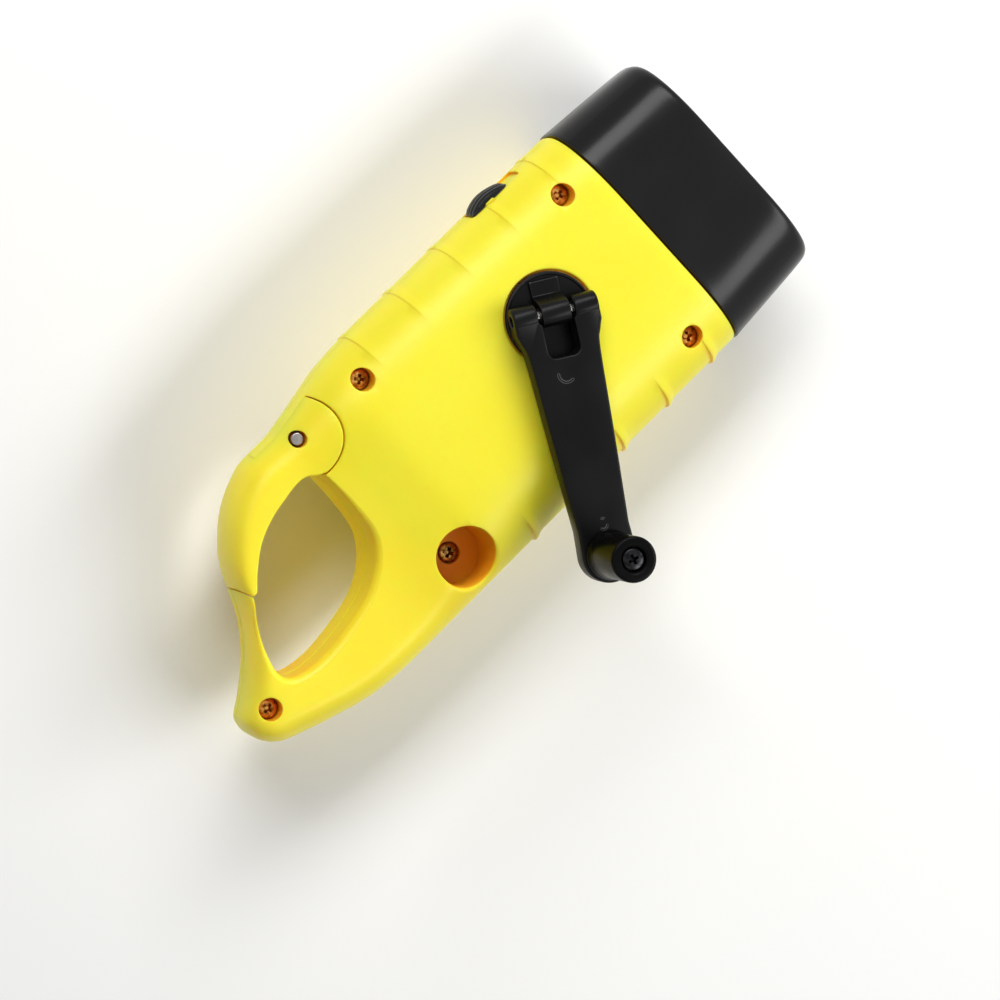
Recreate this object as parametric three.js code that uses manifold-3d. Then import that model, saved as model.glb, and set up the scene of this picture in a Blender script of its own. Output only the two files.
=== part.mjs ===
// Hand crank flashlight with a carabiner tail, as an assembly of separate pieces.
// Millimetres. X points to the lamp end, Y to the switch side, Z out of the crank face.
// The origin lies on the flat solar face, on the body's centre line, level with the crank axis.
import * as THREE from 'three';
import { mergeVertices } from 'three/addons/utils/BufferGeometryUtils.js';
import Module from 'manifold-3d';

const wasm = await Module();
wasm.setup();

// Body: overall sizes
const HALF_WIDTH = 27.8;
const TOP_RISE = 13;
const BOTTOM_DEPTH = 20;
const TAIL_LENGTH = 99.3;
const NECK_X = 26.9;
const EDGE_WIDTH = 17.8;
const LOWER_EDGE_SHARE = 0.83;
const EDGE_POWER = 2.3;
const EDGE_LIMIT_SHARE = 0.45;
const WALL = 2;
const FIT_GAP = 0.3;
const OVERRUN = 1;
const PART_Z = BOTTOM_DEPTH;
const FACE_Z = BOTTOM_DEPTH + TOP_RISE;

// Body: stations behind the hub. Each row holds shares of
// the tail length, half width (high side, low side), top rise, bottom depth and edge width.
const stationShares = [
  [0.282, 1, -1, 1, 1, 1],
  [0.383, 0.982, -1, 0.985, 0.93, 0.9],
  [0.453, 0.942, -1, 0.892, 0.75, 0.7],
  [0.514, 0.903, -1, 0.785, 0.58, 0.53],
  [0.569, 0.878, -1, 0.715, 0.48, 0.42],
  [0.624, 0.878, -1, 0.692, 0.45, 0.36],
  [0.675, 0.827, -0.998, 0.692, 0.45, 0.36],
  [0.72, 0.745, -0.989, 0.692, 0.45, 0.36],
  [0.76, 0.626, -0.971, 0.692, 0.45, 0.36],
  [0.7925, 0.496, -0.946, 0.692, 0.45, 0.36],
  [0.8117, 0.374, -0.928, 0.692, 0.45, 0.36],
  [0.8228, 0.273, -0.917, 0.692, 0.45, 0.36],
  [0.847, 0.0935, -0.888, 0.692, 0.45, 0.36],
  [0.873, -0.032, -0.86, 0.692, 0.45, 0.36],
  [0.901, -0.144, -0.824, 0.692, 0.45, 0.36],
  [0.9295, -0.234, -0.788, 0.692, 0.45, 0.36],
  [0.9567, -0.313, -0.748, 0.677, 0.44, 0.34],
  [0.981, -0.37, -0.676, 0.585, 0.38, 0.28],
  [1, -0.424, -0.561, 0.385, 0.25, 0.2],
];

// Side ribs
const RIB_FRONT_X = 20.8;
const RIB_PITCH = 12.7;
const RIB_COUNT = 5;
const RIB_WIDTH = 1.8;
const RIB_RISE = 0.6;
const RIB_REACH = 8.3;
const RIB_BOTTOM_Z = 9;

// Neck that the bezel slides over, and the hollow inside the shells
const NECK_LENGTH = 5.1;
const NECK_INSET = 2.4;
const NECK_WALL = 1.6;
const NECK_ROOT = 1.9;
const HOLLOW_REAR_X = -49;

// Crank axis, arm direction and the pocket that stores the knob
const HUB_Y = 4;
const HUB_RADIUS = 9.1;
const SEAT_RADIUS = 9.5;
const SEAT_DEPTH = 1.3;
const HUB_RISE = 0.1;
const HUB_BORE_RADIUS = 4.1;
const HUB_BOSS_RADIUS = 11.5;
const HUB_BOSS_DEPTH = 3.4;
const ARM_OPEN_ANGLE = -120.7;
const POCKET_ANGLE = -152.9;
const HINGE_OFFSET = 1;
const HINGE_RISE = 3;
const HINGE_Z = FACE_Z + HINGE_RISE;
const KNOB_REACH = 49;
const KNOB_RADIUS = 4.6;
const KNOB_BASE_RADIUS = 5;
const KNOB_LENGTH = 16.4;
const POCKET_RADIUS = 6.2;
const POCKET_WALL = 1.5;
const POCKET_FLOOR = 3.5;
const POCKET_SPARE = 0.5;

// Crank arm, hinge knuckle and hinge pin
const ARM_THICKNESS = 4.6;
const ARM_HINGE_HALF = 8.85;
const ARM_WAIST_HALF = 7.3;
const ARM_TIP_HALF = 5.3;
const ARM_BOSS_RADIUS = 5.6;
const ARM_BEVEL = 0.5;
const ARM_SLOT_LENGTH = 8.8;
const BARREL_RADIUS = 2.6;
const KNUCKLE_HALF = 2.8;
const HINGE_PIN_RADIUS = 1;
const TAB_FAR = 6.7;
const TAB_NEAR = 3.6;
const TAB_RISE = 0.6;
const BARREL_ANGLES = [150, 125, 100, 75, 50, 25, 0, -25];
const ARM_TIP_ANGLES = [60, 30, 0, -30, -60];

// Knob post and knob screw
const POST_RADIUS = 1.9;
const KNOB_RECESS_RADIUS = 2.9;
const KNOB_RECESS_DEPTH = 2.4;
const KNOB_HEAD_RADIUS = 2.4;
const KNOB_HEAD_HEIGHT = 1.3;
const KNOB_SCREW_RADIUS = 1;
const KNOB_SCREW_LENGTH = 9;

// Screws that join the shells
const SCREW_HOLE_RADIUS = 2.3;
const SCREW_HEAD_RADIUS = 2;
const SCREW_HEAD_HEIGHT = 1.4;
const SCREW_SHANK_RADIUS = 1.2;
const SCREW_SINK = 3.2;
const SCREW_BITE = 6;
const BOSS_RADIUS = 4;
const PILOT_DEPTH = 7;
const FRONT_SCREW_SETBACK = 8.1;
const FRONT_SCREW_INSET = 8.4;
const REAR_SCREW_X = -35.5;
const REAR_SCREW_INSET = 6.7;
const tailScrewShares = [0.93857, -0.47122];

// Carabiner gate
const GATE_PIN_X = -52.6;
const GATE_PIN_ACROSS_SHARE = 0.7662;
const GATE_PIN_Y = GATE_PIN_ACROSS_SHARE * HALF_WIDTH;
const GATE_PIN_RADIUS = 1.26;
const GATE_HOLE_RADIUS = 1.7;
const GATE_PIN_SINK = 0.5;
const KNUCKLE_RADIUS = 8.9;
const TONGUE_HALF = 4;
const SPRING_OUTER = 2.5;
const SPRING_INNER = 1.7;
const SPRING_HALF = 2.9;
const GATE_OPEN_DEGREES = 25;

// Loop wall on the body side, then the horn's inner edge up to its tip:
// shares of the tail length and of the half width.
const loopShares = [
  [0.5435, 0.4], [0.5475, 0.21], [0.5525, -0.04], [0.569, -0.2], [0.598, -0.32],
  [0.651, -0.415], [0.73, -0.48], [0.8, -0.492], [0.857, -0.455], [0.883, -0.36],
  [0.8665, -0.165], [0.841, 0.011], [0.8165, 0.147], [0.8105, 0.19],
];
// The gate's inner edge from its tip to its knuckle.
const gateInnerShares = [
  [0.799, 0.192], [0.7675, 0.302], [0.72, 0.428], [0.6605, 0.507], [0.599, 0.532], [0.557, 0.507],
  [0.5408, 0.464],
];
const gateTipShares = [0.8095, 0.199];
const gateTipOuterShares = [0.853, 0.585];
const gateOutsideShares = [[0.73, 1.1], [0.53, 1.12]];
const tailHollowShares = [
  [0.579, -0.88], [0.675, -0.885], [0.765, -0.85], [0.846, -0.76], [0.89, -0.69], [0.886, -0.594],
  [0.851, -0.586], [0.796, -0.604], [0.725, -0.586], [0.65, -0.525], [0.589, -0.414],
];
const TAIL_HOLLOW_HALF = 5.6;

// Bezel: rows of shares of the bezel length, half width, top rise and bottom depth
const BEZEL_LENGTH = 23.4;
const BEZEL_WALL = 2.2;
const BEZEL_FRONT_WALL = 1.5;
const bezelShares = [
  [0, 1.009, 1.016, 0.99], [0.08, 1.003, 1.003, 0.985], [0.35, 0.988, 0.985, 0.965],
  [0.62, 0.966, 0.945, 0.93], [0.85, 0.945, 0.893, 0.875], [0.95, 0.925, 0.853, 0.84],
  [1, 0.885, 0.81, 0.795],
];
const OPENING_INSET = 5;

// Lamp: lens, seal, reflector, lamps and their board
const LENS_THICKNESS = 1.6;
const LENS_INSET = 2.8;
const SEAL_THICKNESS = 0.6;
const SEAL_BAND = 1.6;
const REFLECTOR_FRONT_INSET = 1.1;
const REFLECTOR_REAR_X = 26.4;
const CUP_RADIUS = 7.1;
const CUP_THROAT_RADIUS = 2.9;
const CUP_THROAT_LENGTH = 2;
const LED_PITCH = 14.5;
const LED_RADIUS = 2.5;
const LED_FLANGE_RADIUS = 2.9;
const LED_FLANGE_LENGTH = 1.1;
const LED_LENGTH = 5;
const LED_BOARD_THICKNESS = 1.2;
const LED_DOME_ANGLES = [30, 60];

// Side switch
const SWITCH_X = 8.85;
const THUMB_LENGTH = 9.3;
const THUMB_HEIGHT = 7.2;
const THUMB_RISE = 1.7;
const THUMB_CREST = 0.9;
const THUMB_RIDGES = 6;
const RIDGE_DEPTH = 0.35;
const ridgeShares = [[0.15, 1], [0.35, 0], [0.65, 0], [0.85, 1]];
const SWITCH_TRAVEL = 3;
const SWITCH_RECESS_DEPTH = 1.2;
const SWITCH_MARGIN = 0.5;
const STEM_LENGTH = 3.6;
const STEM_HEIGHT = 2.2;
const FLANGE_LENGTH = 6.6;
const FLANGE_HEIGHT = 3.6;
const FLANGE_THICKNESS = 1;
const LEVER_LENGTH = 1.4;
const LEVER_HEIGHT = 1.2;
const LEVER_REACH = 1.2;
const SWITCH_BODY_LENGTH = 8.6;
const SWITCH_BODY_HEIGHT = 5;
const SWITCH_BODY_DEPTH = 2.6;

// Main board
const BOARD_REAR_X = -14;
const BOARD_FRONT_X = 14.2;
const BOARD_BOTTOM_Z = 9;
const BOARD_TOP_Z = 26;
const BOARD_THICKNESS = 1.2;
const BOARD_REST_WIDTH = 2;
const BOARD_REST_DEPTH = 4.4;
const BOARD_REST_INSET = 1.2;

// Solar panel in the lower face
const WINDOW_REAR_X = -24;
const WINDOW_LENGTH = 44;
const WINDOW_WIDTH = 24;
const WINDOW_THICKNESS = 1.2;
const CELL_THICKNESS = 0.6;
const CELL_MARGIN = 1.5;
const PANEL_FLOOR = 1.6;
const PANEL_RECESS = WINDOW_THICKNESS + CELL_THICKNESS + 2 * FIT_GAP;
const FLOOR_Z = PANEL_RECESS + PANEL_FLOOR;

// Battery
const BATTERY_RADIUS = 8;
const BATTERY_LENGTH = 18;
const BATTERY_REAR_X = -4;
const BATTERY_Y = -12.5;

// Gear train
const CRANK_GEAR_RADIUS = 13.5;
const TRAIN_GEAR_RADIUS = 10.8;
const GEAR_TEETH = 30;
const PINION_TEETH = 10;
const CRANK_MODULE = (2 * CRANK_GEAR_RADIUS) / GEAR_TEETH;
const TRAIN_MODULE = (2 * TRAIN_GEAR_RADIUS) / GEAR_TEETH;
const ADDENDUM_SHARE = 0.8;
const DEDENDUM_SHARE = 1.15;
const ROOT_WIDTH_SHARE = 0.6;
const TIP_WIDTH_SHARE = 0.22;
const STAGE_1_ANGLE = -140;
const STAGE_2_ANGLE = 170;
const ROTOR_ANGLE = 60;
const GEAR_WIDTH = 2.8;
const LEVEL_STEP = 3.55;
const CRANK_GEAR_DROP = 6.6;
const GEAR_PIN_RADIUS = 1;
const PIN_SOCKET_RADIUS = 2.3;
const PIN_SOCKET_DEPTH = 1.5;
const JOURNAL_RADIUS = 2;
const CLIP_RADIUS = 3.2;
const CLIP_THICKNESS = 0.6;

// Gear plate, its posts and screws
const PLATE_THICKNESS = 1.5;
const PLATE_DROP = 14.5;
const POST_PLACES = { rear: [-34, 12], side: [-31.5, -19], front: [14.5, 13] };
const PLATE_POST_RADIUS = 2.2;
const PLATE_SCREW_RADIUS = 0.9;
const PLATE_HEAD_RADIUS = 1.8;
const PLATE_HEAD_HEIGHT = 1.3;
const PLATE_SCREW_LENGTH = 6;
const PLATE_FRONT_X = 16.6;
const PLATE_FRONT_Y = 15;
const PLATE_STEP_X = -5.5;
const PLATE_STEP_Y = -3;
const PLATE_SIDE_Y = -22;
const PLATE_REAR_X = -38;
const PLATE_HIGH_Y = 16.7;
const PLATE_CHAMFER = 7;

// Generator under the plate
const CAN_RADIUS = 11.8;
const CAN_WALL = 0.8;
const BOBBIN_INNER = 7;
const BOBBIN_CORE = 7.9;
const BOBBIN_FLANGE = 10.4;
const BOBBIN_FLANGE_WIDTH = 1;
const COIL_OUTER = 10.2;
const CLAW_COUNT = 6;
const CLAW_INNER = 6.05;
const CLAW_THICKNESS = 0.65;
const CLAW_WIDTH = 3;
const CLAW_RING_OUTER = 10.8;
const MAGNET_RADIUS = 5.6;

// Leads
const LEAD_RADIUS = 0.5;
const LEAD_HOLE_RADIUS = 0.9;
const SOLAR_LEAD_X = 9;
const SOLAR_LEAD_Y = 9;

// Facets
const ROUND_SEGMENTS = 28;
const SMALL_SEGMENTS = 12;
const EDGE_STEPS = 4;
const LEAD_STEPS = 9;
const LEAD_SIDES = 5;

const COLORS = {
  yellow: { color: 0xf4e63c, roughness: 0.42, metalness: 0 },
  black: { color: 0x1b1b1d, roughness: 0.45, metalness: 0 },
  steel: { color: 0xb9bcc0, roughness: 0.3, metalness: 1 },
  brass: { color: 0xa9762f, roughness: 0.38, metalness: 1 },
  clear: { color: 0xe8eef0, roughness: 0.05, metalness: 0 },
  chrome: { color: 0xd8dadc, roughness: 0.08, metalness: 1 },
  board: { color: 0x1f6b3a, roughness: 0.5, metalness: 0 },
  nylon: { color: 0xece9df, roughness: 0.5, metalness: 0 },
  copper: { color: 0xb5652d, roughness: 0.35, metalness: 1 },
  magnet: { color: 0x3a3a3e, roughness: 0.6, metalness: 0.3 },
  cell: { color: 0x1a2140, roughness: 0.2, metalness: 0 },
  wrap: { color: 0x2f6fb5, roughness: 0.4, metalness: 0 },
  lamp: { color: 0xf6f4e6, roughness: 0.1, metalness: 0 },
  seal: { color: 0x2a2a2a, roughness: 0.8, metalness: 0 },
  wire: { color: 0xb02020, roughness: 0.5, metalness: 0 },
};

// Solids and meshes

function signedVolume(positions, triangles) {
  const corners = [new THREE.Vector3(), new THREE.Vector3(), new THREE.Vector3()];
  let volume = 0;
  for (let t = 0; t < triangles.length; t += 3) {
    corners.forEach((corner, n) => corner.fromArray(positions, 3 * triangles[t + n]));
    volume += corners[0].dot(corners[1].clone().cross(corners[2])) / 6;
  }
  return volume;
}

function toSolid(geometry) {
  const bare = geometry.clone();
  bare.deleteAttribute('normal');
  bare.deleteAttribute('uv');
  const merged = mergeVertices(bare);
  const vertProperties = new Float32Array(merged.attributes.position.array);
  const triVerts = new Uint32Array(merged.index.array);
  if (signedVolume(vertProperties, triVerts) < 0) {
    for (let t = 0; t < triVerts.length; t += 3) {
      [triVerts[t], triVerts[t + 1]] = [triVerts[t + 1], triVerts[t]];
    }
  }
  return new wasm.Manifold(new wasm.Mesh({ numProp: 3, vertProperties, triVerts }));
}

function toGeometry(solid) {
  const found = solid.getMesh();
  const geometry = new THREE.BufferGeometry();
  geometry.setAttribute('position', new THREE.BufferAttribute(found.vertProperties, found.numProp));
  geometry.setIndex(new THREE.BufferAttribute(found.triVerts, 1));
  geometry.computeVertexNormals();
  return geometry;
}

function makePiece(name, solid, finish) {
  const piece = new THREE.Mesh(toGeometry(solid), new THREE.MeshStandardMaterial(finish));
  piece.name = name;
  return piece;
}

function joinAll(solids) {
  return solids.reduce((all, one) => all.add(one));
}

function radians(degrees) {
  return THREE.MathUtils.degToRad(degrees);
}

// Basic shapes, placed in the part's frame

function box(x0, x1, y0, y1, z0, z1) {
  const geometry = new THREE.BoxGeometry(x1 - x0, y1 - y0, z1 - z0);
  geometry.translate((x0 + x1) / 2, (y0 + y1) / 2, (z0 + z1) / 2);
  return toSolid(geometry);
}

function rod(radius, z0, z1, x = 0, y = 0, segments = SMALL_SEGMENTS) {
  const geometry = new THREE.CylinderGeometry(radius, radius, z1 - z0, segments);
  geometry.rotateX(Math.PI / 2);
  geometry.translate(x, y, (z0 + z1) / 2);
  return toSolid(geometry);
}

function tubeAlongZ(outer, inner, z0, z1, x = 0, y = 0, segments = ROUND_SEGMENTS) {
  const core = rod(inner, z0 - OVERRUN, z1 + OVERRUN, x, y, segments);
  return rod(outer, z0, z1, x, y, segments).subtract(core);
}

function rodAlongX(radiusRear, radiusFront, x0, x1, y, z, segments = SMALL_SEGMENTS) {
  const geometry = new THREE.CylinderGeometry(radiusFront, radiusRear, x1 - x0, segments);
  geometry.rotateZ(-Math.PI / 2);
  geometry.translate((x0 + x1) / 2, y, z);
  return toSolid(geometry);
}

function rodAlongY(radius, y0, y1, x, z, segments = SMALL_SEGMENTS) {
  const geometry = new THREE.CylinderGeometry(radius, radius, y1 - y0, segments);
  geometry.translate(x, (y0 + y1) / 2, z);
  return toSolid(geometry);
}

function spun(points, segments = ROUND_SEGMENTS) {
  const profile = points.map(([radius, height]) => new THREE.Vector2(radius, height));
  const geometry = new THREE.LatheGeometry(profile, segments);
  geometry.rotateX(Math.PI / 2);
  return toSolid(geometry);
}

function prism(points, z0, z1, bevel = 0) {
  const shape = new THREE.Shape(points.map(([x, y]) => new THREE.Vector2(x, y)));
  const geometry = new THREE.ExtrudeGeometry(shape, {
    depth: z1 - z0 - 2 * bevel,
    bevelEnabled: bevel > 0,
    bevelThickness: bevel,
    bevelSize: bevel,
    bevelOffset: -bevel,
    bevelSegments: 1,
  });
  geometry.translate(0, 0, z0 + bevel);
  return toSolid(geometry);
}

function sideProfile(points, halfWidth) {
  const shape = new THREE.Shape(points.map(([x, z]) => new THREE.Vector2(x, z)));
  const geometry = new THREE.ExtrudeGeometry(shape, { depth: 2 * halfWidth, bevelEnabled: false });
  geometry.rotateX(Math.PI / 2);
  geometry.translate(0, halfWidth, 0);
  return toSolid(geometry);
}

function loft(rings) {
  const size = rings[0].length;
  const positions = rings.flat().flatMap((point) => point.toArray());
  const triangles = [];
  for (let r = 0; r + 1 < rings.length; r += 1) {
    for (let n = 0; n < size; n += 1) {
      const here = r * size + n;
      const next = r * size + ((n + 1) % size);
      triangles.push(here, next, here + size, next, next + size, here + size);
    }
  }
  const caps = [[0, rings[0], true], [(rings.length - 1) * size, rings.at(-1), false]];
  for (const [start, ring, turned] of caps) {
    const flat = ring.map((point) => new THREE.Vector2(point.y, point.z));
    for (const [a, b, c] of THREE.ShapeUtils.triangulateShape(flat, [])) {
      triangles.push(start + a, start + (turned ? c : b), start + (turned ? b : c));
    }
  }
  const geometry = new THREE.BufferGeometry();
  geometry.setAttribute('position', new THREE.Float32BufferAttribute(positions, 3));
  geometry.setIndex(triangles);
  return toSolid(geometry);
}

// Body sections: flat in the middle, turning down over the edge width as a superellipse

function place([along, across]) {
  return [-along * TAIL_LENGTH, across * HALF_WIDTH];
}

function section(x, high, low, top, bottom, edge) {
  return { x, high, low, top, bottom, edge: Math.min(edge, EDGE_LIMIT_SHARE * (high - low)) };
}

const fullSection = (x) => section(x, HALF_WIDTH, -HALF_WIDTH, TOP_RISE, BOTTOM_DEPTH, EDGE_WIDTH);
const bodyStations = [
  fullSection(NECK_X),
  ...stationShares.map(([along, high, low, top, bottom, edge]) => section(
    -along * TAIL_LENGTH,
    high * HALF_WIDTH,
    low * HALF_WIDTH,
    top * TOP_RISE,
    bottom * BOTTOM_DEPTH,
    edge * EDGE_WIDTH,
  )),
];

function stationAt(x) {
  const after = bodyStations.findIndex((station) => station.x <= x);
  if (after <= 0) return { ...bodyStations[after === 0 ? 0 : bodyStations.length - 1], x };
  const [front, rear] = [bodyStations[after - 1], bodyStations[after]];
  const share = (front.x - x) / (front.x - rear.x);
  const mixed = { x };
  for (const key of ['high', 'low', 'top', 'bottom', 'edge']) {
    mixed[key] = THREE.MathUtils.lerp(front[key], rear[key], share);
  }
  return mixed;
}

function inset(station, depth) {
  const edge = Math.max(station.edge - depth, station.edge / 2);
  const { x, high, low, top, bottom } = station;
  return { x, high: high - depth, low: low + depth, top: top - depth, bottom: bottom - depth, edge };
}

function quarter(edge, rise) {
  return Array.from({ length: EDGE_STEPS + 1 }, (_, n) => {
    const angle = (n / EDGE_STEPS) * (Math.PI / 2);
    const across = n === EDGE_STEPS ? 0 : Math.cos(angle) ** (2 / EDGE_POWER);
    return [edge * across, rise * Math.sin(angle) ** (2 / EDGE_POWER)];
  });
}

function ringAt({ x, high, low, top, bottom, edge }) {
  const lowerEdge = edge * LOWER_EDGE_SHARE;
  const upper = quarter(edge, top);
  const lower = quarter(lowerEdge, bottom);
  const point = (y, z) => new THREE.Vector3(x, y, PART_Z + z);
  return [
    ...upper.map(([y, z]) => point(high - edge + y, z)),
    ...upper.slice().reverse().map(([y, z]) => point(low + edge - y, z)),
    ...lower.slice(1).map(([y, z]) => point(low + lowerEdge - y, -z)),
    ...lower.slice(1).reverse().map(([y, z]) => point(high - lowerEdge + y, -z)),
  ];
}

function topHeightAt(x, y) {
  const { high, low, top, edge } = stationAt(x);
  const past = Math.max(y - (high - edge), low + edge - y, 0) / edge;
  return PART_Z + top * (1 - past ** EDGE_POWER) ** (1 / EDGE_POWER);
}

function bottomHeightAt(x, y) {
  const { high, low, bottom, edge } = stationAt(x);
  const lowerEdge = edge * LOWER_EDGE_SHARE;
  const past = Math.max(y - (high - lowerEdge), low + lowerEdge - y, 0) / lowerEdge;
  return PART_Z - bottom * (1 - past ** EDGE_POWER) ** (1 / EDGE_POWER);
}

// Places that follow from the sizes above

const armTurn = radians(ARM_OPEN_ANGLE);
const storedReach = KNOB_REACH + HINGE_OFFSET;
const POCKET_X = storedReach * Math.cos(radians(POCKET_ANGLE));
const POCKET_Y = HUB_Y + storedReach * Math.sin(radians(POCKET_ANGLE));
const ARM_TOP = ARM_THICKNESS / 2;
const KNOB_BASE = ARM_TOP + FIT_GAP;
const KNOB_TOP = KNOB_BASE + KNOB_LENGTH;
const POCKET_FLOOR_Z = HINGE_Z - KNOB_TOP - POCKET_SPARE;
const PLATE_TOP_Z = FACE_Z - PLATE_DROP;
const PLATE_BOTTOM_Z = PLATE_TOP_Z - PLATE_THICKNESS;
const CEILING_Z = FACE_Z - WALL;
const HUB_BOSS_Z = FACE_Z - HUB_BOSS_DEPTH;
const GEAR_LEVEL_Z = [0, 1, 2].map((level) => FACE_Z - CRANK_GEAR_DROP - level * LEVEL_STEP);
const BOARD_Y = HUB_Y + CRANK_MODULE * (GEAR_TEETH / 2 + ADDENDUM_SHARE) + FIT_GAP + FIT_GAP / 2;
const LAMP_Z = PART_Z - (BOTTOM_DEPTH - TOP_RISE) / 2;
const BEZEL_REAR_X = NECK_X + FIT_GAP;
const BEZEL_FRONT_X = BEZEL_REAR_X + BEZEL_LENGTH;
const SEAL_FRONT_X = BEZEL_FRONT_X - BEZEL_FRONT_WALL - FIT_GAP;
const LENS_FRONT_X = SEAL_FRONT_X - SEAL_THICKNESS - FIT_GAP;
const LENS_REAR_X = LENS_FRONT_X - LENS_THICKNESS;
const REFLECTOR_FRONT_X = LENS_REAR_X - FIT_GAP;
const WINDOW_FRONT_X = WINDOW_REAR_X + WINDOW_LENGTH;

function step(from, distance, degrees) {
  return [from[0] + distance * Math.cos(radians(degrees)), from[1] + distance * Math.sin(radians(degrees))];
}

const crankMesh = CRANK_MODULE * (GEAR_TEETH + PINION_TEETH) / 2;
const trainMesh = TRAIN_MODULE * (GEAR_TEETH + PINION_TEETH) / 2;
const hubPlace = [0, HUB_Y];
const stage1Place = step(hubPlace, crankMesh, STAGE_1_ANGLE);
const stage2Place = step(stage1Place, trainMesh, STAGE_2_ANGLE);
const rotorPlace = step(stage2Place, trainMesh, ROTOR_ANGLE);

const screwPlaces = {
  case_screw_front_left: [NECK_X - FRONT_SCREW_SETBACK, HALF_WIDTH - FRONT_SCREW_INSET],
  case_screw_front_right: [NECK_X - FRONT_SCREW_SETBACK, FRONT_SCREW_INSET - HALF_WIDTH],
  case_screw_rear: [REAR_SCREW_X, HALF_WIDTH - REAR_SCREW_INSET],
  case_screw_tail: place(tailScrewShares),
};

const headTopAt = (x, y) => topHeightAt(x, y) - SCREW_SINK;
const seatAt = (x, y) => headTopAt(x, y) - SCREW_HEAD_HEIGHT;

// Casing

function envelope() {
  let solid = loft(bodyStations.map(ringAt));
  for (let n = 0; n < RIB_COUNT; n += 1) {
    const x = RIB_FRONT_X - n * RIB_PITCH;
    const [rear, front] = [x - RIB_PITCH, x + RIB_PITCH];
    const sides = [x + RIB_WIDTH / 2, x - RIB_WIDTH / 2];
    const band = loft(sides.map((at) => ringAt(inset(stationAt(at), -RIB_RISE))));
    const faceHalf = HALF_WIDTH - RIB_REACH;
    const middle = box(rear, front, -faceHalf, faceHalf, -HALF_WIDTH, FACE_Z + HALF_WIDTH);
    const under = box(rear, front, -2 * HALF_WIDTH, 2 * HALF_WIDTH, -HALF_WIDTH, RIB_BOTTOM_Z);
    solid = solid.add(band.subtract(middle).subtract(under));
  }
  return solid;
}

function neckStation(x, depth) {
  return inset(fullSection(x), depth);
}

function hollow() {
  const rearStations = bodyStations.filter((station) => station.x > HOLLOW_REAR_X && station.x < NECK_X);
  const main = loft([
    inset(stationAt(NECK_X - NECK_ROOT), WALL),
    ...rearStations.map((station) => inset(station, WALL)),
    inset(stationAt(HOLLOW_REAR_X), WALL),
  ].map(ringAt));
  const mouth = loft([
    neckStation(NECK_X + NECK_LENGTH + OVERRUN, NECK_INSET + NECK_WALL),
    neckStation(NECK_X - NECK_ROOT - OVERRUN, NECK_INSET + NECK_WALL),
  ].map(ringAt));
  const limb = prism(tailHollowShares.map(place), PART_Z - TAIL_HOLLOW_HALF, PART_Z + TAIL_HOLLOW_HALF);
  const panelBed = box(
    WINDOW_REAR_X - WALL,
    WINDOW_FRONT_X + WALL,
    -WINDOW_WIDTH / 2 - WALL,
    WINDOW_WIDTH / 2 + WALL,
    -OVERRUN,
    FLOOR_Z,
  );
  const gateWall = rod(KNUCKLE_RADIUS + WALL, 0, FACE_Z, GATE_PIN_X, GATE_PIN_Y, ROUND_SEGMENTS);
  return joinAll([main, mouth, limb]).subtract(panelBed).subtract(gateWall);
}

function loopHole() {
  const inner = [...loopShares, ...gateInnerShares].map(place);
  return prism(inner, -OVERRUN, FACE_Z + OVERRUN);
}

function gateBar(tipGap) {
  const tip = place(gateTipShares);
  const outer = place(gateTipOuterShares);
  const points = [
    ...gateInnerShares.slice(0, 1).map(place).map(([x, y]) => [x, y - tipGap]),
    [tip[0] - tipGap, tip[1] - tipGap],
    [outer[0] - tipGap, outer[1] - tipGap],
    ...gateOutsideShares.map(place),
    [GATE_PIN_X, GATE_PIN_Y],
    ...gateInnerShares.slice(1).reverse().map(place),
  ];
  return prism(points, -OVERRUN, FACE_Z + OVERRUN);
}

function knuckleDisc(radius, z0, z1) {
  return rod(radius, z0, z1, GATE_PIN_X, GATE_PIN_Y, ROUND_SEGMENTS);
}

function gateClearance() {
  const reliefRadius = KNUCKLE_RADIUS + FIT_GAP;
  const above = knuckleDisc(reliefRadius, PART_Z + TONGUE_HALF, FACE_Z + OVERRUN);
  const below = knuckleDisc(reliefRadius, -OVERRUN, PART_Z - TONGUE_HALF);
  const bar = gateBar(FIT_GAP).subtract(knuckleDisc(reliefRadius, -2 * OVERRUN, FACE_Z + 2 * OVERRUN));
  return joinAll([above, below, bar]);
}

function switchCuts() {
  const recessHalf = THUMB_LENGTH / 2 + SWITCH_MARGIN;
  const recess = box(
    SWITCH_X - recessHalf,
    SWITCH_X + recessHalf + SWITCH_TRAVEL,
    HALF_WIDTH - SWITCH_RECESS_DEPTH,
    HALF_WIDTH + EDGE_WIDTH,
    PART_Z - THUMB_HEIGHT / 2 - SWITCH_MARGIN,
    PART_Z + THUMB_HEIGHT / 2 + SWITCH_MARGIN,
  );
  const slot = box(
    SWITCH_X - STEM_LENGTH / 2 - FIT_GAP,
    SWITCH_X + STEM_LENGTH / 2 + SWITCH_TRAVEL + FIT_GAP,
    HALF_WIDTH - 2 * WALL,
    HALF_WIDTH,
    PART_Z - STEM_HEIGHT / 2 - FIT_GAP,
    PART_Z + STEM_HEIGHT / 2 + FIT_GAP,
  );
  return recess.add(slot);
}

const outside = envelope();
const neck = loft([
  neckStation(NECK_X + NECK_LENGTH, NECK_INSET),
  neckStation(NECK_X - NECK_ROOT / 2, NECK_INSET),
].map(ringAt));
const inside = hollow();
const cutAway = joinAll([loopHole(), gateClearance(), switchCuts()]);
const upperHalf = box(-2 * TAIL_LENGTH, TAIL_LENGTH, -2 * HALF_WIDTH, 2 * HALF_WIDTH, PART_Z, 2 * FACE_Z);
const lowerHalf = box(-2 * TAIL_LENGTH, TAIL_LENGTH, -2 * HALF_WIDTH, 2 * HALF_WIDTH, -OVERRUN, PART_Z);

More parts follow.
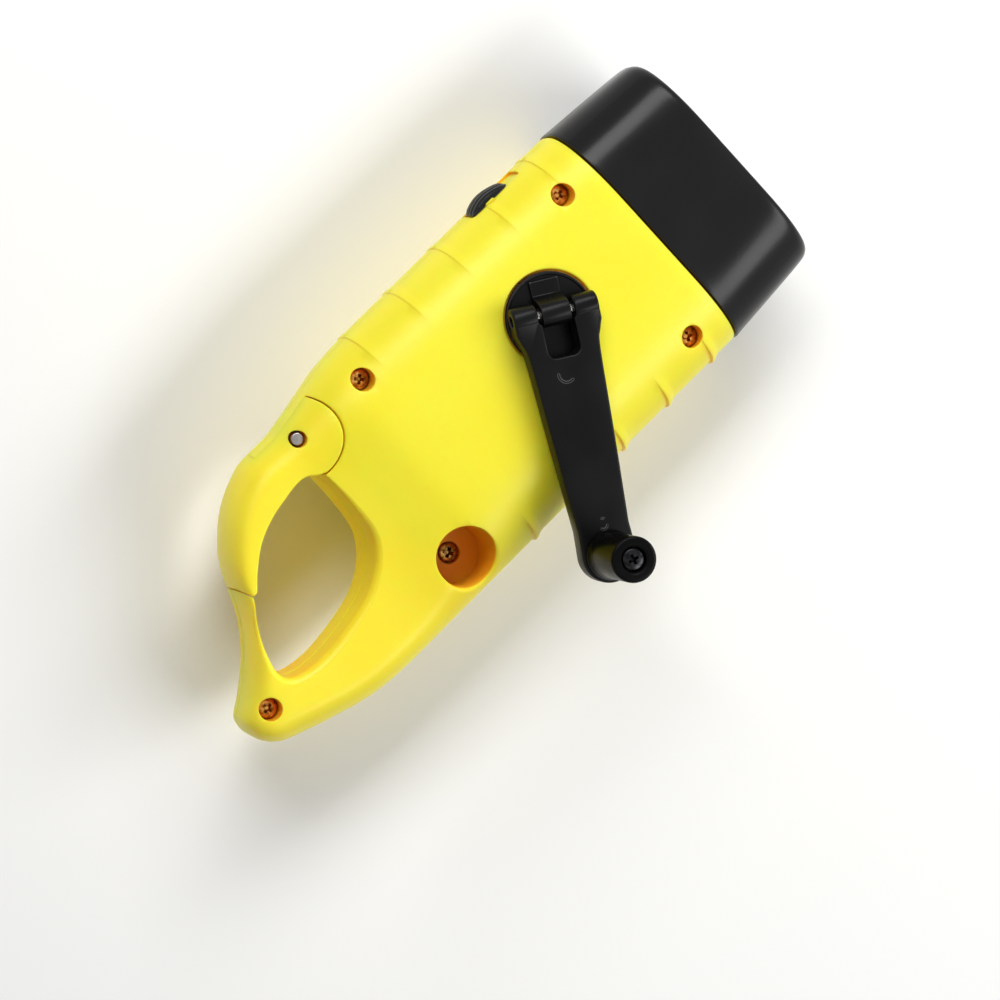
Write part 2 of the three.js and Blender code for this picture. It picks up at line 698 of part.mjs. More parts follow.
function plainShell(half) {
  return outside.add(neck).subtract(inside).subtract(cutAway).intersect(half);
}

function springBore() {
  const half = SPRING_HALF + FIT_GAP;
  return rod(SPRING_OUTER + FIT_GAP, PART_Z - half, PART_Z + half, GATE_PIN_X, GATE_PIN_Y);
}

function pinBore() {
  const half = TONGUE_HALF + OVERRUN;
  return rod(GATE_PIN_RADIUS + FIT_GAP, PART_Z - half, PART_Z + half, GATE_PIN_X, GATE_PIN_Y);
}

function crankSideShell() {
  const bosses = Object.values(screwPlaces).map(([x, y]) => rod(BOSS_RADIUS, PART_Z, FACE_Z, x, y));
  const posts = Object.values(POST_PLACES).map(([x, y]) => (
    rod(PLATE_POST_RADIUS, PLATE_TOP_Z + FIT_GAP, FACE_Z, x, y)
  ));
  const sockets = [stage1Place, stage2Place].map(([x, y]) => (
    rod(PIN_SOCKET_RADIUS, CEILING_Z - PIN_SOCKET_DEPTH, CEILING_Z + WALL / 2, x, y)
  ));
  const hubBoss = rod(HUB_BOSS_RADIUS, HUB_BOSS_Z, CEILING_Z + WALL / 2, ...hubPlace, ROUND_SEGMENTS);
  const cupRadius = POCKET_RADIUS + POCKET_WALL;
  const cup = rod(cupRadius, POCKET_FLOOR_Z - POCKET_FLOOR, FACE_Z, POCKET_X, POCKET_Y, ROUND_SEGMENTS);
  const added = joinAll([...bosses, ...posts, ...sockets, hubBoss]).intersect(outside);
  const cuts = [
    ...Object.values(screwPlaces).flatMap(([x, y]) => [
      rod(SCREW_HOLE_RADIUS, seatAt(x, y) - FIT_GAP, FACE_Z + OVERRUN, x, y),
      rod(SCREW_SHANK_RADIUS + FIT_GAP, PART_Z - OVERRUN, FACE_Z, x, y),
    ]),
    ...Object.values(POST_PLACES).map(([x, y]) => (
      rod(PLATE_SCREW_RADIUS + FIT_GAP, PLATE_TOP_Z, PLATE_TOP_Z + PLATE_SCREW_LENGTH, x, y)
    )),
    ...[stage1Place, stage2Place].map(([x, y]) => (
      rod(GEAR_PIN_RADIUS + FIT_GAP, PLATE_TOP_Z, CEILING_Z - FIT_GAP / 2, x, y)
    )),
    rod(SEAT_RADIUS, FACE_Z - SEAT_DEPTH, FACE_Z + OVERRUN, ...hubPlace, ROUND_SEGMENTS),
    rod(HUB_BORE_RADIUS, PLATE_TOP_Z, FACE_Z, ...hubPlace, ROUND_SEGMENTS),
    rod(POCKET_RADIUS, POCKET_FLOOR_Z, FACE_Z + OVERRUN, POCKET_X, POCKET_Y, ROUND_SEGMENTS),
    rod(SCREW_HOLE_RADIUS, POCKET_FLOOR_Z - SCREW_HEAD_HEIGHT - 2 * FIT_GAP, FACE_Z, POCKET_X, POCKET_Y),
    rod(SCREW_SHANK_RADIUS + FIT_GAP, 0, FACE_Z, POCKET_X, POCKET_Y),
    springBore(),
    pinBore(),
  ];
  return plainShell(upperHalf).add(added).add(cup.intersect(outside)).subtract(joinAll(cuts));
}

function solarSideShell() {
  const bosses = Object.values(screwPlaces).map(([x, y]) => rod(BOSS_RADIUS, 0, PART_Z, x, y));
  const cupRelief = rod(
    POCKET_RADIUS + POCKET_WALL + FIT_GAP,
    POCKET_FLOOR_Z - POCKET_FLOOR - FIT_GAP,
    PART_Z + OVERRUN,
    POCKET_X,
    POCKET_Y,
    ROUND_SEGMENTS,
  );
  const pocketBoss = rod(BOSS_RADIUS, 0, PART_Z, POCKET_X, POCKET_Y);
  const restMiddle = BOARD_Y + BOARD_THICKNESS / 2;
  const restRear = BOARD_REAR_X + BOARD_REST_INSET;
  const restFront = BOARD_FRONT_X - BOARD_REST_INSET - BOARD_REST_WIDTH;
  const rests = [restRear, restFront].map((x) => box(
    x,
    x + BOARD_REST_WIDTH,
    restMiddle - BOARD_REST_DEPTH / 2,
    restMiddle + BOARD_REST_DEPTH / 2,
    0,
    BOARD_BOTTOM_Z - FIT_GAP,
  ));
  const added = joinAll([...bosses, pocketBoss, ...rests]).intersect(outside);
  const recess = box(
    WINDOW_REAR_X - FIT_GAP,
    WINDOW_FRONT_X + FIT_GAP,
    -WINDOW_WIDTH / 2 - FIT_GAP,
    WINDOW_WIDTH / 2 + FIT_GAP,
    -OVERRUN,
    PANEL_RECESS,
  );
  const pocketTip = POCKET_FLOOR_Z - POCKET_FLOOR - PILOT_DEPTH;
  const cuts = [
    ...Object.values(screwPlaces).map(([x, y]) => (
      rod(SCREW_SHANK_RADIUS + FIT_GAP, PART_Z - PILOT_DEPTH, PART_Z + OVERRUN, x, y)
    )),
    rod(SCREW_SHANK_RADIUS + FIT_GAP, pocketTip, PART_Z, POCKET_X, POCKET_Y),
    recess,
    rod(LEAD_HOLE_RADIUS, 0, FLOOR_Z + OVERRUN, SOLAR_LEAD_X, SOLAR_LEAD_Y),
    springBore(),
    pinBore(),
  ];
  return plainShell(lowerHalf).add(added).subtract(cupRelief).subtract(joinAll(cuts));
}

function gateSolid() {
  const region = gateBar(0).add(knuckleDisc(KNUCKLE_RADIUS, -OVERRUN, FACE_Z + OVERRUN));
  const slot = knuckleDisc(
    KNUCKLE_RADIUS + 2 * FIT_GAP,
    PART_Z - TONGUE_HALF - FIT_GAP,
    PART_Z + TONGUE_HALF + FIT_GAP,
  );
  const hole = rod(GATE_HOLE_RADIUS, 0, FACE_Z, GATE_PIN_X, GATE_PIN_Y);
  return loft(bodyStations.map(ringAt)).intersect(region).subtract(slot).subtract(hole);
}

// Fasteners

function screw(headTop, shankEnd, x, y) {
  const seat = headTop - SCREW_HEAD_HEIGHT;
  return rod(SCREW_HEAD_RADIUS, seat, headTop, x, y).add(rod(SCREW_SHANK_RADIUS, shankEnd, headTop, x, y));
}

function plateScrew([x, y]) {
  const headTop = PLATE_BOTTOM_Z - FIT_GAP;
  const head = rod(PLATE_HEAD_RADIUS, headTop - PLATE_HEAD_HEIGHT, headTop, x, y);
  const shankTop = PLATE_TOP_Z + PLATE_SCREW_LENGTH - FIT_GAP;
  return head.add(rod(PLATE_SCREW_RADIUS, headTop - PLATE_HEAD_HEIGHT, shankTop, x, y));
}

// Lamp end

function bezelStation([along, half, top, bottom]) {
  return section(
    BEZEL_REAR_X + along * BEZEL_LENGTH,
    half * HALF_WIDTH,
    -half * HALF_WIDTH,
    top * TOP_RISE,
    bottom * BOTTOM_DEPTH,
    EDGE_WIDTH * half,
  );
}

const bezelStations = bezelShares.map(bezelStation);
const frontStation = bezelStations.at(-3);

function atX(station, x, depth) {
  return { ...inset(station, depth), x };
}

function bezelSolid() {
  const outer = loft(bezelStations.slice().reverse().map(ringAt));
  const sleeveDepth = NECK_INSET - FIT_GAP;
  const inner = loft([
    atX(frontStation, BEZEL_FRONT_X - BEZEL_FRONT_WALL, BEZEL_WALL),
    atX(bezelStations[3], bezelStations[3].x, BEZEL_WALL),
    neckStation(NECK_X + NECK_LENGTH + FIT_GAP, sleeveDepth),
    neckStation(BEZEL_REAR_X - OVERRUN, sleeveDepth),
  ].map(ringAt));
  const opening = loft([
    atX(frontStation, BEZEL_FRONT_X + OVERRUN, OPENING_INSET),
    atX(frontStation, BEZEL_FRONT_X - BEZEL_FRONT_WALL - OVERRUN, OPENING_INSET),
  ].map(ringAt));
  return outer.subtract(inner).subtract(opening);
}

function slab(x0, x1, depth) {
  return loft([atX(frontStation, x1, depth), atX(frontStation, x0, depth)].map(ringAt));
}

function sealSolid() {
  const hole = slab(LENS_FRONT_X, BEZEL_FRONT_X, LENS_INSET + SEAL_BAND);
  return slab(SEAL_FRONT_X - SEAL_THICKNESS, SEAL_FRONT_X, LENS_INSET).subtract(hole);
}

const ledShares = { led_left: 1, led_center: 0, led_right: -1 };
const ledBaseX = REFLECTOR_REAR_X - FIT_GAP - LED_FLANGE_LENGTH;

function reflectorSolid() {
  const rearDepth = NECK_INSET + NECK_WALL + FIT_GAP;
  const front = atX(frontStation, REFLECTOR_FRONT_X, BEZEL_WALL + REFLECTOR_FRONT_INSET);
  let solid = loft([
    front,
    neckStation(NECK_X + NECK_LENGTH, rearDepth),
    neckStation(REFLECTOR_REAR_X, rearDepth),
  ].map(ringAt));
  for (const share of Object.values(ledShares)) {
    const y = share * LED_PITCH;
    const throatEnd = REFLECTOR_REAR_X + CUP_THROAT_LENGTH;
    const mouth = REFLECTOR_FRONT_X + FIT_GAP;
    const cone = rodAlongX(CUP_THROAT_RADIUS, CUP_RADIUS, throatEnd, mouth, y, LAMP_Z, 2 * SMALL_SEGMENTS);
    const throat = rodAlongX(
      CUP_THROAT_RADIUS,
      CUP_THROAT_RADIUS,
      REFLECTOR_REAR_X - OVERRUN,
      throatEnd + FIT_GAP,
      y,
      LAMP_Z,
      2 * SMALL_SEGMENTS,
    );
    solid = solid.subtract(cone.add(throat));
  }
  return solid;
}

function ledSolid(share) {
  const profile = [
    [0, 0],
    [LED_FLANGE_RADIUS, 0],
    [LED_FLANGE_RADIUS, LED_FLANGE_LENGTH],
    [LED_RADIUS, LED_FLANGE_LENGTH],
    [LED_RADIUS, LED_LENGTH],
    ...LED_DOME_ANGLES.map((angle) => [
      LED_RADIUS * Math.cos(radians(angle)), LED_LENGTH + LED_RADIUS * Math.sin(radians(angle)),
    ]),
    [0, LED_LENGTH + LED_RADIUS],
  ];
  const lathe = new THREE.LatheGeometry(profile.map(([r, h]) => new THREE.Vector2(r, h)), SMALL_SEGMENTS);
  lathe.rotateZ(-Math.PI / 2);
  lathe.translate(ledBaseX, share * LED_PITCH, LAMP_Z);
  return toSolid(lathe);
}

function ledBoardSolid() {
  const frontX = ledBaseX - FIT_GAP;
  const depth = NECK_INSET + NECK_WALL + FIT_GAP;
  return loft([neckStation(frontX, depth), neckStation(frontX - LED_BOARD_THICKNESS, depth)].map(ringAt));
}

// Gears

function gearOutline(teeth, module, toothAngle) {
  const pitchRadius = (module * teeth) / 2;
  const pitchAngle = (2 * Math.PI) / teeth;
  const tip = pitchRadius + module * ADDENDUM_SHARE;
  const root = pitchRadius - module * DEDENDUM_SHARE;
  const corners = [
    [root, -ROOT_WIDTH_SHARE / 2],
    [tip, -TIP_WIDTH_SHARE / 2],
    [tip, TIP_WIDTH_SHARE / 2],
    [root, ROOT_WIDTH_SHARE / 2],
  ];
  return Array.from({ length: teeth }, (_, n) => n).flatMap((n) => corners.map(([radius, share]) => {
    const angle = radians(toothAngle) + (n + share) * pitchAngle;
    return [radius * Math.cos(angle), radius * Math.sin(angle)];
  }));
}

function gearSolid(teeth, module, toothAngle, levelTop, boreRadius) {
  const bore = rod(boreRadius, levelTop - GEAR_WIDTH - OVERRUN, levelTop + OVERRUN);
  return prism(gearOutline(teeth, module, toothAngle), levelTop - GEAR_WIDTH, levelTop).subtract(bore);
}

const gapAngle = (lineAngle) => lineAngle + 180 + 180 / PINION_TEETH;
const levelTop = GEAR_LEVEL_Z.map((z) => z + GEAR_WIDTH);

function compoundGear(level, pinionModule, pinionLine, gearLine) {
  const bore = GEAR_PIN_RADIUS + FIT_GAP;
  const pinion = gearSolid(PINION_TEETH, pinionModule, gapAngle(pinionLine), levelTop[level], bore);
  const gear = gearSolid(GEAR_TEETH, TRAIN_MODULE, gearLine, levelTop[level + 1], bore);
  const rootRadius = pinionModule * (PINION_TEETH / 2 - DEDENDUM_SHARE);
  const joinTop = GEAR_LEVEL_Z[level] + GEAR_WIDTH / 2;
  const joinBottom = levelTop[level + 1] - GEAR_WIDTH / 2;
  const collar = tubeAlongZ(rootRadius, bore, joinBottom, joinTop, 0, 0, 2 * SMALL_SEGMENTS);
  return joinAll([pinion, gear, collar]);
}

function gearPlateSolid() {
  const outline = [
    [PLATE_FRONT_X, PLATE_FRONT_Y],
    [PLATE_FRONT_X, PLATE_STEP_Y],
    [PLATE_STEP_X, PLATE_STEP_Y],
    [PLATE_STEP_X, PLATE_SIDE_Y + PLATE_CHAMFER],
    [PLATE_STEP_X - 2 * PLATE_CHAMFER, PLATE_SIDE_Y],
    [PLATE_REAR_X + PLATE_CHAMFER / 2, PLATE_SIDE_Y],
    [PLATE_REAR_X, PLATE_SIDE_Y + 2 * PLATE_CHAMFER],
    [PLATE_REAR_X, PLATE_HIGH_Y - PLATE_CHAMFER / 2],
    [PLATE_REAR_X + PLATE_CHAMFER / 2, PLATE_HIGH_Y],
    [PLATE_STEP_X, PLATE_HIGH_Y],
  ];
  const pinHoles = [stage1Place, stage2Place, rotorPlace].map(([x, y]) => (
    rod(GEAR_PIN_RADIUS + FIT_GAP, 0, FACE_Z, x, y)
  ));
  const screwHoles = Object.values(POST_PLACES).map(([x, y]) => (
    rod(PLATE_SCREW_RADIUS + FIT_GAP, 0, FACE_Z, x, y)
  ));
  const journalHole = rod(JOURNAL_RADIUS + FIT_GAP, 0, FACE_Z, ...hubPlace);
  const plate = prism(outline, PLATE_BOTTOM_Z, PLATE_TOP_Z);
  return plate.subtract(joinAll([...pinHoles, ...screwHoles, journalHole]));
}

// Generator, built around its own axis

const CAN_BOTTOM_Z = FLOOR_Z + FIT_GAP;
const CAN_TOP_Z = PLATE_BOTTOM_Z - FIT_GAP;
const CLAW_TOP_Z = CAN_TOP_Z - FIT_GAP;
const BOBBIN_TOP_Z = CLAW_TOP_Z - CLAW_THICKNESS - FIT_GAP;
const BOBBIN_BOTTOM_Z = CAN_BOTTOM_Z + CAN_WALL + FIT_GAP;
const MAGNET_BOTTOM_Z = BOBBIN_BOTTOM_Z + FIT_GAP;
const MAGNET_TOP_Z = BOBBIN_TOP_Z - FIT_GAP;

function statorCan() {
  return spun([
    [GEAR_PIN_RADIUS + FIT_GAP, CAN_BOTTOM_Z],
    [CAN_RADIUS, CAN_BOTTOM_Z],
    [CAN_RADIUS, CAN_TOP_Z],
    [CAN_RADIUS - CAN_WALL, CAN_TOP_Z],
    [CAN_RADIUS - CAN_WALL, CAN_BOTTOM_Z + CAN_WALL],
    [GEAR_PIN_RADIUS + FIT_GAP, CAN_BOTTOM_Z + CAN_WALL],
    [GEAR_PIN_RADIUS + FIT_GAP, CAN_BOTTOM_Z],
  ]);
}

function statorClaws() {
  const ring = tubeAlongZ(CLAW_RING_OUTER, CLAW_INNER, CLAW_TOP_Z - CLAW_THICKNESS, CLAW_TOP_Z);
  const claws = Array.from({ length: CLAW_COUNT }, (_, n) => {
    const bottom = BOBBIN_BOTTOM_Z + FIT_GAP;
    const geometry = new THREE.BoxGeometry(CLAW_THICKNESS, CLAW_WIDTH, CLAW_TOP_Z - bottom);
    geometry.translate(CLAW_INNER + CLAW_THICKNESS / 2, 0, (CLAW_TOP_Z + bottom) / 2);
    geometry.rotateZ((n / CLAW_COUNT) * 2 * Math.PI);
    return toSolid(geometry);
  });
  return joinAll([ring, ...claws]).subtract(rod(CLAW_INNER - FIT_GAP / 2, 0, CLAW_TOP_Z - CLAW_THICKNESS));
}

function coilBobbin() {
  const innerRadius = Math.hypot(CLAW_INNER + CLAW_THICKNESS, CLAW_WIDTH / 2) + FIT_GAP / 2;
  return spun([
    [innerRadius, BOBBIN_BOTTOM_Z],
    [BOBBIN_FLANGE, BOBBIN_BOTTOM_Z],
    [BOBBIN_FLANGE, BOBBIN_BOTTOM_Z + BOBBIN_FLANGE_WIDTH],
    [BOBBIN_CORE, BOBBIN_BOTTOM_Z + BOBBIN_FLANGE_WIDTH],
    [BOBBIN_CORE, BOBBIN_TOP_Z - BOBBIN_FLANGE_WIDTH],
    [BOBBIN_FLANGE, BOBBIN_TOP_Z - BOBBIN_FLANGE_WIDTH],
    [BOBBIN_FLANGE, BOBBIN_TOP_Z],
    [innerRadius, BOBBIN_TOP_Z],
    [innerRadius, BOBBIN_BOTTOM_Z],
  ]);
}

function coilWinding() {
  return tubeAlongZ(
    COIL_OUTER,
    BOBBIN_CORE + FIT_GAP,
    BOBBIN_BOTTOM_Z + BOBBIN_FLANGE_WIDTH + FIT_GAP,
    BOBBIN_TOP_Z - BOBBIN_FLANGE_WIDTH - FIT_GAP,
  );
}

// Crank: hub, arm and knob, in the hub's turned frame with X along the open arm

function hubSolid() {
  const top = FACE_Z + HUB_RISE;
  const disc = rod(HUB_RADIUS, FACE_Z - SEAT_DEPTH + FIT_GAP, top, 0, 0, ROUND_SEGMENTS);
  const shaft = rod(HUB_BORE_RADIUS - FIT_GAP, GEAR_LEVEL_Z[0] - FIT_GAP, top, 0, 0, 2 * SMALL_SEGMENTS);
  const journal = rod(JOURNAL_RADIUS, PLATE_BOTTOM_Z - 2 * FIT_GAP - CLIP_THICKNESS, top);
  const barrel = BARREL_ANGLES.map((angle) => [
    -HINGE_OFFSET + BARREL_RADIUS * Math.cos(radians(angle)),
    HINGE_Z + BARREL_RADIUS * Math.sin(radians(angle)),
  ]);
  const knuckle = sideProfile([
    [-HINGE_OFFSET - TAB_FAR, top - HUB_RISE],
    [-HINGE_OFFSET - TAB_FAR, top + TAB_RISE],
    [-HINGE_OFFSET - TAB_NEAR, top + TAB_RISE],
    ...barrel,
    [-HINGE_OFFSET + BARREL_RADIUS, top - HUB_RISE],
  ], KNUCKLE_HALF);
  const bore = rodAlongY(HINGE_PIN_RADIUS + FIT_GAP, -HUB_RADIUS, HUB_RADIUS, -HINGE_OFFSET, HINGE_Z);
  return joinAll([disc, shaft, journal, knuckle]).subtract(bore);
}

function shaftClip() {
  const topZ = PLATE_BOTTOM_Z - FIT_GAP;
  return tubeAlongZ(CLIP_RADIUS, JOURNAL_RADIUS + FIT_GAP, topZ - CLIP_THICKNESS, topZ);
}

function armOutline() {
  const half = [
    [0, ARM_HINGE_HALF],
    [BARREL_RADIUS + ARM_BEVEL, ARM_HINGE_HALF],
    [2 * BARREL_RADIUS, (ARM_HINGE_HALF + ARM_WAIST_HALF) / 2],
    [ARM_SLOT_LENGTH, ARM_WAIST_HALF],
    [KNOB_REACH - ARM_BOSS_RADIUS, ARM_TIP_HALF],
  ];
  const tip = ARM_TIP_ANGLES.map((angle) => [
    KNOB_REACH + ARM_BOSS_RADIUS * Math.cos(radians(angle)), ARM_BOSS_RADIUS * Math.sin(radians(angle)),
  ]);
  const back = half.slice().reverse().map(([x, y]) => [x, -y]);
  return [...half, [KNOB_REACH, ARM_BOSS_RADIUS], ...tip, [KNOB_REACH, -ARM_BOSS_RADIUS], ...back];
}

function armSolid() {
  const plate = prism(armOutline(), -ARM_TOP, ARM_TOP, ARM_BEVEL);
  const barrel = rodAlongY(BARREL_RADIUS, -ARM_HINGE_HALF, ARM_HINGE_HALF, 0, 0, 2 * SMALL_SEGMENTS);
  const slotHalf = KNUCKLE_HALF + FIT_GAP;
  const slot = box(-2 * BARREL_RADIUS, ARM_SLOT_LENGTH, -slotHalf, slotHalf, -2 * ARM_TOP, 2 * ARM_TOP);
  const pinHole = rodAlongY(HINGE_PIN_RADIUS + FIT_GAP, -2 * ARM_HINGE_HALF, 2 * ARM_HINGE_HALF, 0, 0);
  const post = rod(POST_RADIUS, 0, KNOB_TOP - KNOB_RECESS_DEPTH + FIT_GAP, KNOB_REACH, 0);
  const pilotEnd = KNOB_TOP - KNOB_RECESS_DEPTH - KNOB_SCREW_LENGTH;
  const pilot = rod(KNOB_SCREW_RADIUS + FIT_GAP, pilotEnd, KNOB_TOP, KNOB_REACH, 0);
  return joinAll([plate, barrel, post]).subtract(slot).subtract(pinHole).subtract(pilot);
}

function knobSolid() {
  const recessFloor = KNOB_TOP - KNOB_RECESS_DEPTH;
  const boreRadius = POST_RADIUS + FIT_GAP;
  return spun([
    [boreRadius, KNOB_BASE],
    [KNOB_BASE_RADIUS, KNOB_BASE],
    [KNOB_BASE_RADIUS, KNOB_BASE + OVERRUN],
    [KNOB_RADIUS, KNOB_BASE + 2 * OVERRUN],
    [KNOB_RADIUS, KNOB_TOP - ARM_BEVEL],
    [KNOB_RADIUS - ARM_BEVEL, KNOB_TOP],
    [KNOB_RECESS_RADIUS, KNOB_TOP],
    [KNOB_RECESS_RADIUS, recessFloor],
    [boreRadius, recessFloor],
    [boreRadius, KNOB_BASE],
  ], 2 * SMALL_SEGMENTS);
}

function knobScrew() {
  const seat = KNOB_TOP - KNOB_RECESS_DEPTH + 2 * FIT_GAP;
  const head = rod(KNOB_HEAD_RADIUS, seat, seat + KNOB_HEAD_HEIGHT);
  return head.add(rod(KNOB_SCREW_RADIUS, seat - KNOB_SCREW_LENGTH + FIT_GAP * 3, seat + KNOB_HEAD_HEIGHT));
}

// Switch

const FLANGE_TOP_Y = HALF_WIDTH - WALL - 2 * FIT_GAP;

function thumbSolid() {
  const rearX = SWITCH_X - THUMB_LENGTH / 2;
  const frontX = SWITCH_X + THUMB_LENGTH / 2;
  const baseY = HALF_WIDTH - SWITCH_RECESS_DEPTH + FIT_GAP;
  const peakY = HALF_WIDTH + THUMB_RISE;
  const outline = [[frontX, baseY], [rearX, baseY], [rearX, peakY - THUMB_CREST - RIDGE_DEPTH]];
  for (let n = 0; n < THUMB_RIDGES; n += 1) {
    for (const [offset, drop] of ridgeShares) {
      const share = (n + offset) / THUMB_RIDGES;
      const crown = THUMB_CREST * (2 * share - 1) ** 2;
      outline.push([rearX + share * THUMB_LENGTH, peakY - crown - drop * RIDGE_DEPTH]);
    }
  }
  outline.push([frontX, peakY - THUMB_CREST - RIDGE_DEPTH]);
  const pad = prism(outline, PART_Z - THUMB_HEIGHT / 2, PART_Z + THUMB_HEIGHT / 2);
  const stem = box(
    SWITCH_X - STEM_LENGTH / 2,
    SWITCH_X + STEM_LENGTH / 2,
    FLANGE_TOP_Y - FLANGE_THICKNESS / 2,
    baseY + FIT_GAP,
    PART_Z - STEM_HEIGHT / 2,
    PART_Z + STEM_HEIGHT / 2,
  );
  const flange = box(
    SWITCH_X - FLANGE_LENGTH / 2,
    SWITCH_X + FLANGE_LENGTH / 2,
    FLANGE_TOP_Y - FLANGE_THICKNESS,
    FLANGE_TOP_Y,
    PART_Z - FLANGE_HEIGHT / 2,
    PART_Z + FLANGE_HEIGHT / 2,
  );
  return joinAll([pad, stem, flange]);
}

const FLANGE_UNDER_Y = FLANGE_TOP_Y - FLANGE_THICKNESS;
const SWITCH_BODY_Y = BOARD_Y + BOARD_THICKNESS + FIT_GAP;

function leverSolid() {
  const topY = FLANGE_UNDER_Y - FIT_GAP;
  return box(
    SWITCH_X - LEVER_LENGTH / 2,
    SWITCH_X + LEVER_LENGTH / 2,
    topY - LEVER_REACH,
    topY,
    PART_Z - LEVER_HEIGHT / 2,
    PART_Z + LEVER_HEIGHT / 2,
  );
}

function switchBodySolid() {
  const x0 = SWITCH_X + (SWITCH_TRAVEL - SWITCH_BODY_LENGTH) / 2;
  const topY = FLANGE_UNDER_Y - 2 * FIT_GAP - LEVER_REACH;
  return box(
    x0,
    x0 + SWITCH_BODY_LENGTH,
    Math.min(SWITCH_BODY_Y, topY - SWITCH_BODY_DEPTH / 2),
    topY,
    PART_Z - SWITCH_BODY_HEIGHT / 2,
    PART_Z + SWITCH_BODY_HEIGHT / 2,
  );
}

// Leads: each runs along a smooth curve through points chosen by hand

const BATTERY_Z = FLOOR_Z + FIT_GAP + BATTERY_RADIUS;
const BOARD_FACE_Y = BOARD_Y - FIT_GAP - LEAD_RADIUS;
const leadRoutes = {
  battery_lead: [
    [BATTERY_REAR_X - FIT_GAP, BATTERY_Y, 9.3],
    [-6.2, -11, 8.3],
    [-4, -1, 7],
    [-1, 9, 8],
    [0, 15.85, 11],
    [0, BOARD_FACE_Y, 14],
  ],
  generator_lead: [
    [rotorPlace[0] + CAN_RADIUS + FIT_GAP + LEAD_RADIUS, rotorPlace[1], 10],
    [-6, 9.5, 10],
    [-5, 14, 11.5],
    [-5, BOARD_FACE_Y, 14],
  ],
  led_lead: [
    [ledBaseX - 2 * FIT_GAP - LED_BOARD_THICKNESS - LEAD_RADIUS, 6, 16],
    [18.5, 9, 13],
    [13.5, 14.5, 11.5],
    [11.5, BOARD_FACE_Y, 14],
  ],
  solar_lead: [
    [SOLAR_LEAD_X, SOLAR_LEAD_Y, WINDOW_THICKNESS + CELL_THICKNESS + 2 * FIT_GAP],
    [SOLAR_LEAD_X, SOLAR_LEAD_Y, 5.5],
    [7.5, 13, 8],
    [5.5, BOARD_FACE_Y, 13.5],
  ],
};

function leadSolid(points) {
  const places = points.map((point) => new THREE.Vector3(...point));
  const route = new THREE.CatmullRomCurve3(places, false, 'centripetal');
  const sides = Array.from({ length: LEAD_SIDES }, (_, n) => {
    const angle = (n / LEAD_SIDES) * 2 * Math.PI;
    return new THREE.Vector2(LEAD_RADIUS * Math.cos(angle), LEAD_RADIUS * Math.sin(angle));
  });
  const settings = { extrudePath: route, steps: LEAD_STEPS };
  return toSolid(new THREE.ExtrudeGeometry(new THREE.Shape(sides), settings));
}

// Assembly

const flashlight = new THREE.Group();
const add = (name, solid, finish) => flashlight.add(makePiece(name, solid, finish));

function addCasing() {
  add('crank_side_shell', crankSideShell(), COLORS.yellow);
  add('solar_side_shell', solarSideShell(), COLORS.yellow);
  add('gate', gateSolid(), COLORS.yellow);
  const pinTop = topHeightAt(GATE_PIN_X, GATE_PIN_Y) - GATE_PIN_SINK;
  const pinBottom = bottomHeightAt(GATE_PIN_X, GATE_PIN_Y) + GATE_PIN_SINK;
  add('gate_pin', rod(GATE_PIN_RADIUS, pinBottom, pinTop, GATE_PIN_X, GATE_PIN_Y), COLORS.steel);
  const spring = tubeAlongZ(
    SPRING_OUTER,
    SPRING_INNER,
    PART_Z - SPRING_HALF,
    PART_Z + SPRING_HALF,
    GATE_PIN_X,
    GATE_PIN_Y,
    SMALL_SEGMENTS,
  );
  add('gate_spring', spring, COLORS.steel);
  for (const [name, [x, y]] of Object.entries(screwPlaces)) {
    add(name, screw(headTopAt(x, y), PART_Z - SCREW_BITE, x, y), COLORS.brass);
  }
  const pocketHead = POCKET_FLOOR_Z - FIT_GAP;
  const pocketEnd = POCKET_FLOOR_Z - POCKET_FLOOR - SCREW_BITE;
  add('pocket_screw', screw(pocketHead, pocketEnd, POCKET_X, POCKET_Y), COLORS.brass);
}

function addLamp() {
  add('bezel', bezelSolid(), COLORS.black);
  add('lens', slab(LENS_REAR_X, LENS_FRONT_X, LENS_INSET), COLORS.clear);
  add('lens_seal', sealSolid(), COLORS.seal);
  add('reflector', reflectorSolid(), COLORS.chrome);
  for (const [name, share] of Object.entries(ledShares)) add(name, ledSolid(share), COLORS.lamp);
  add('led_board', ledBoardSolid(), COLORS.board);
}

function addElectrics() {
  const board = box(
    BOARD_REAR_X, BOARD_FRONT_X, BOARD_Y, BOARD_Y + BOARD_THICKNESS, BOARD_BOTTOM_Z, BOARD_TOP_Z,
  );
  add('main_board', board, COLORS.board);
  const cells = rodAlongX(
    BATTERY_RADIUS,
    BATTERY_RADIUS,
    BATTERY_REAR_X,
    BATTERY_REAR_X + BATTERY_LENGTH,
    BATTERY_Y,
    BATTERY_Z,
    2 * SMALL_SEGMENTS,
  );
  add('battery_pack', cells, COLORS.wrap);
  const half = WINDOW_WIDTH / 2;
  add('solar_window', box(WINDOW_REAR_X, WINDOW_FRONT_X, -half, half, 0, WINDOW_THICKNESS), COLORS.clear);
  const cell = box(
    WINDOW_REAR_X + CELL_MARGIN,
    WINDOW_FRONT_X - CELL_MARGIN,
    CELL_MARGIN - half,
    half - CELL_MARGIN,
    WINDOW_THICKNESS + FIT_GAP,
    WINDOW_THICKNESS + FIT_GAP + CELL_THICKNESS,
  );
  add('solar_cell', cell, COLORS.cell);
  add('switch_body', switchBodySolid(), COLORS.steel);
  add('switch_lever', leverSolid(), COLORS.black);
  add('switch_slider', thumbSolid(), COLORS.black);
  for (const [name, points] of Object.entries(leadRoutes)) add(name, leadSolid(points), COLORS.wire);
}

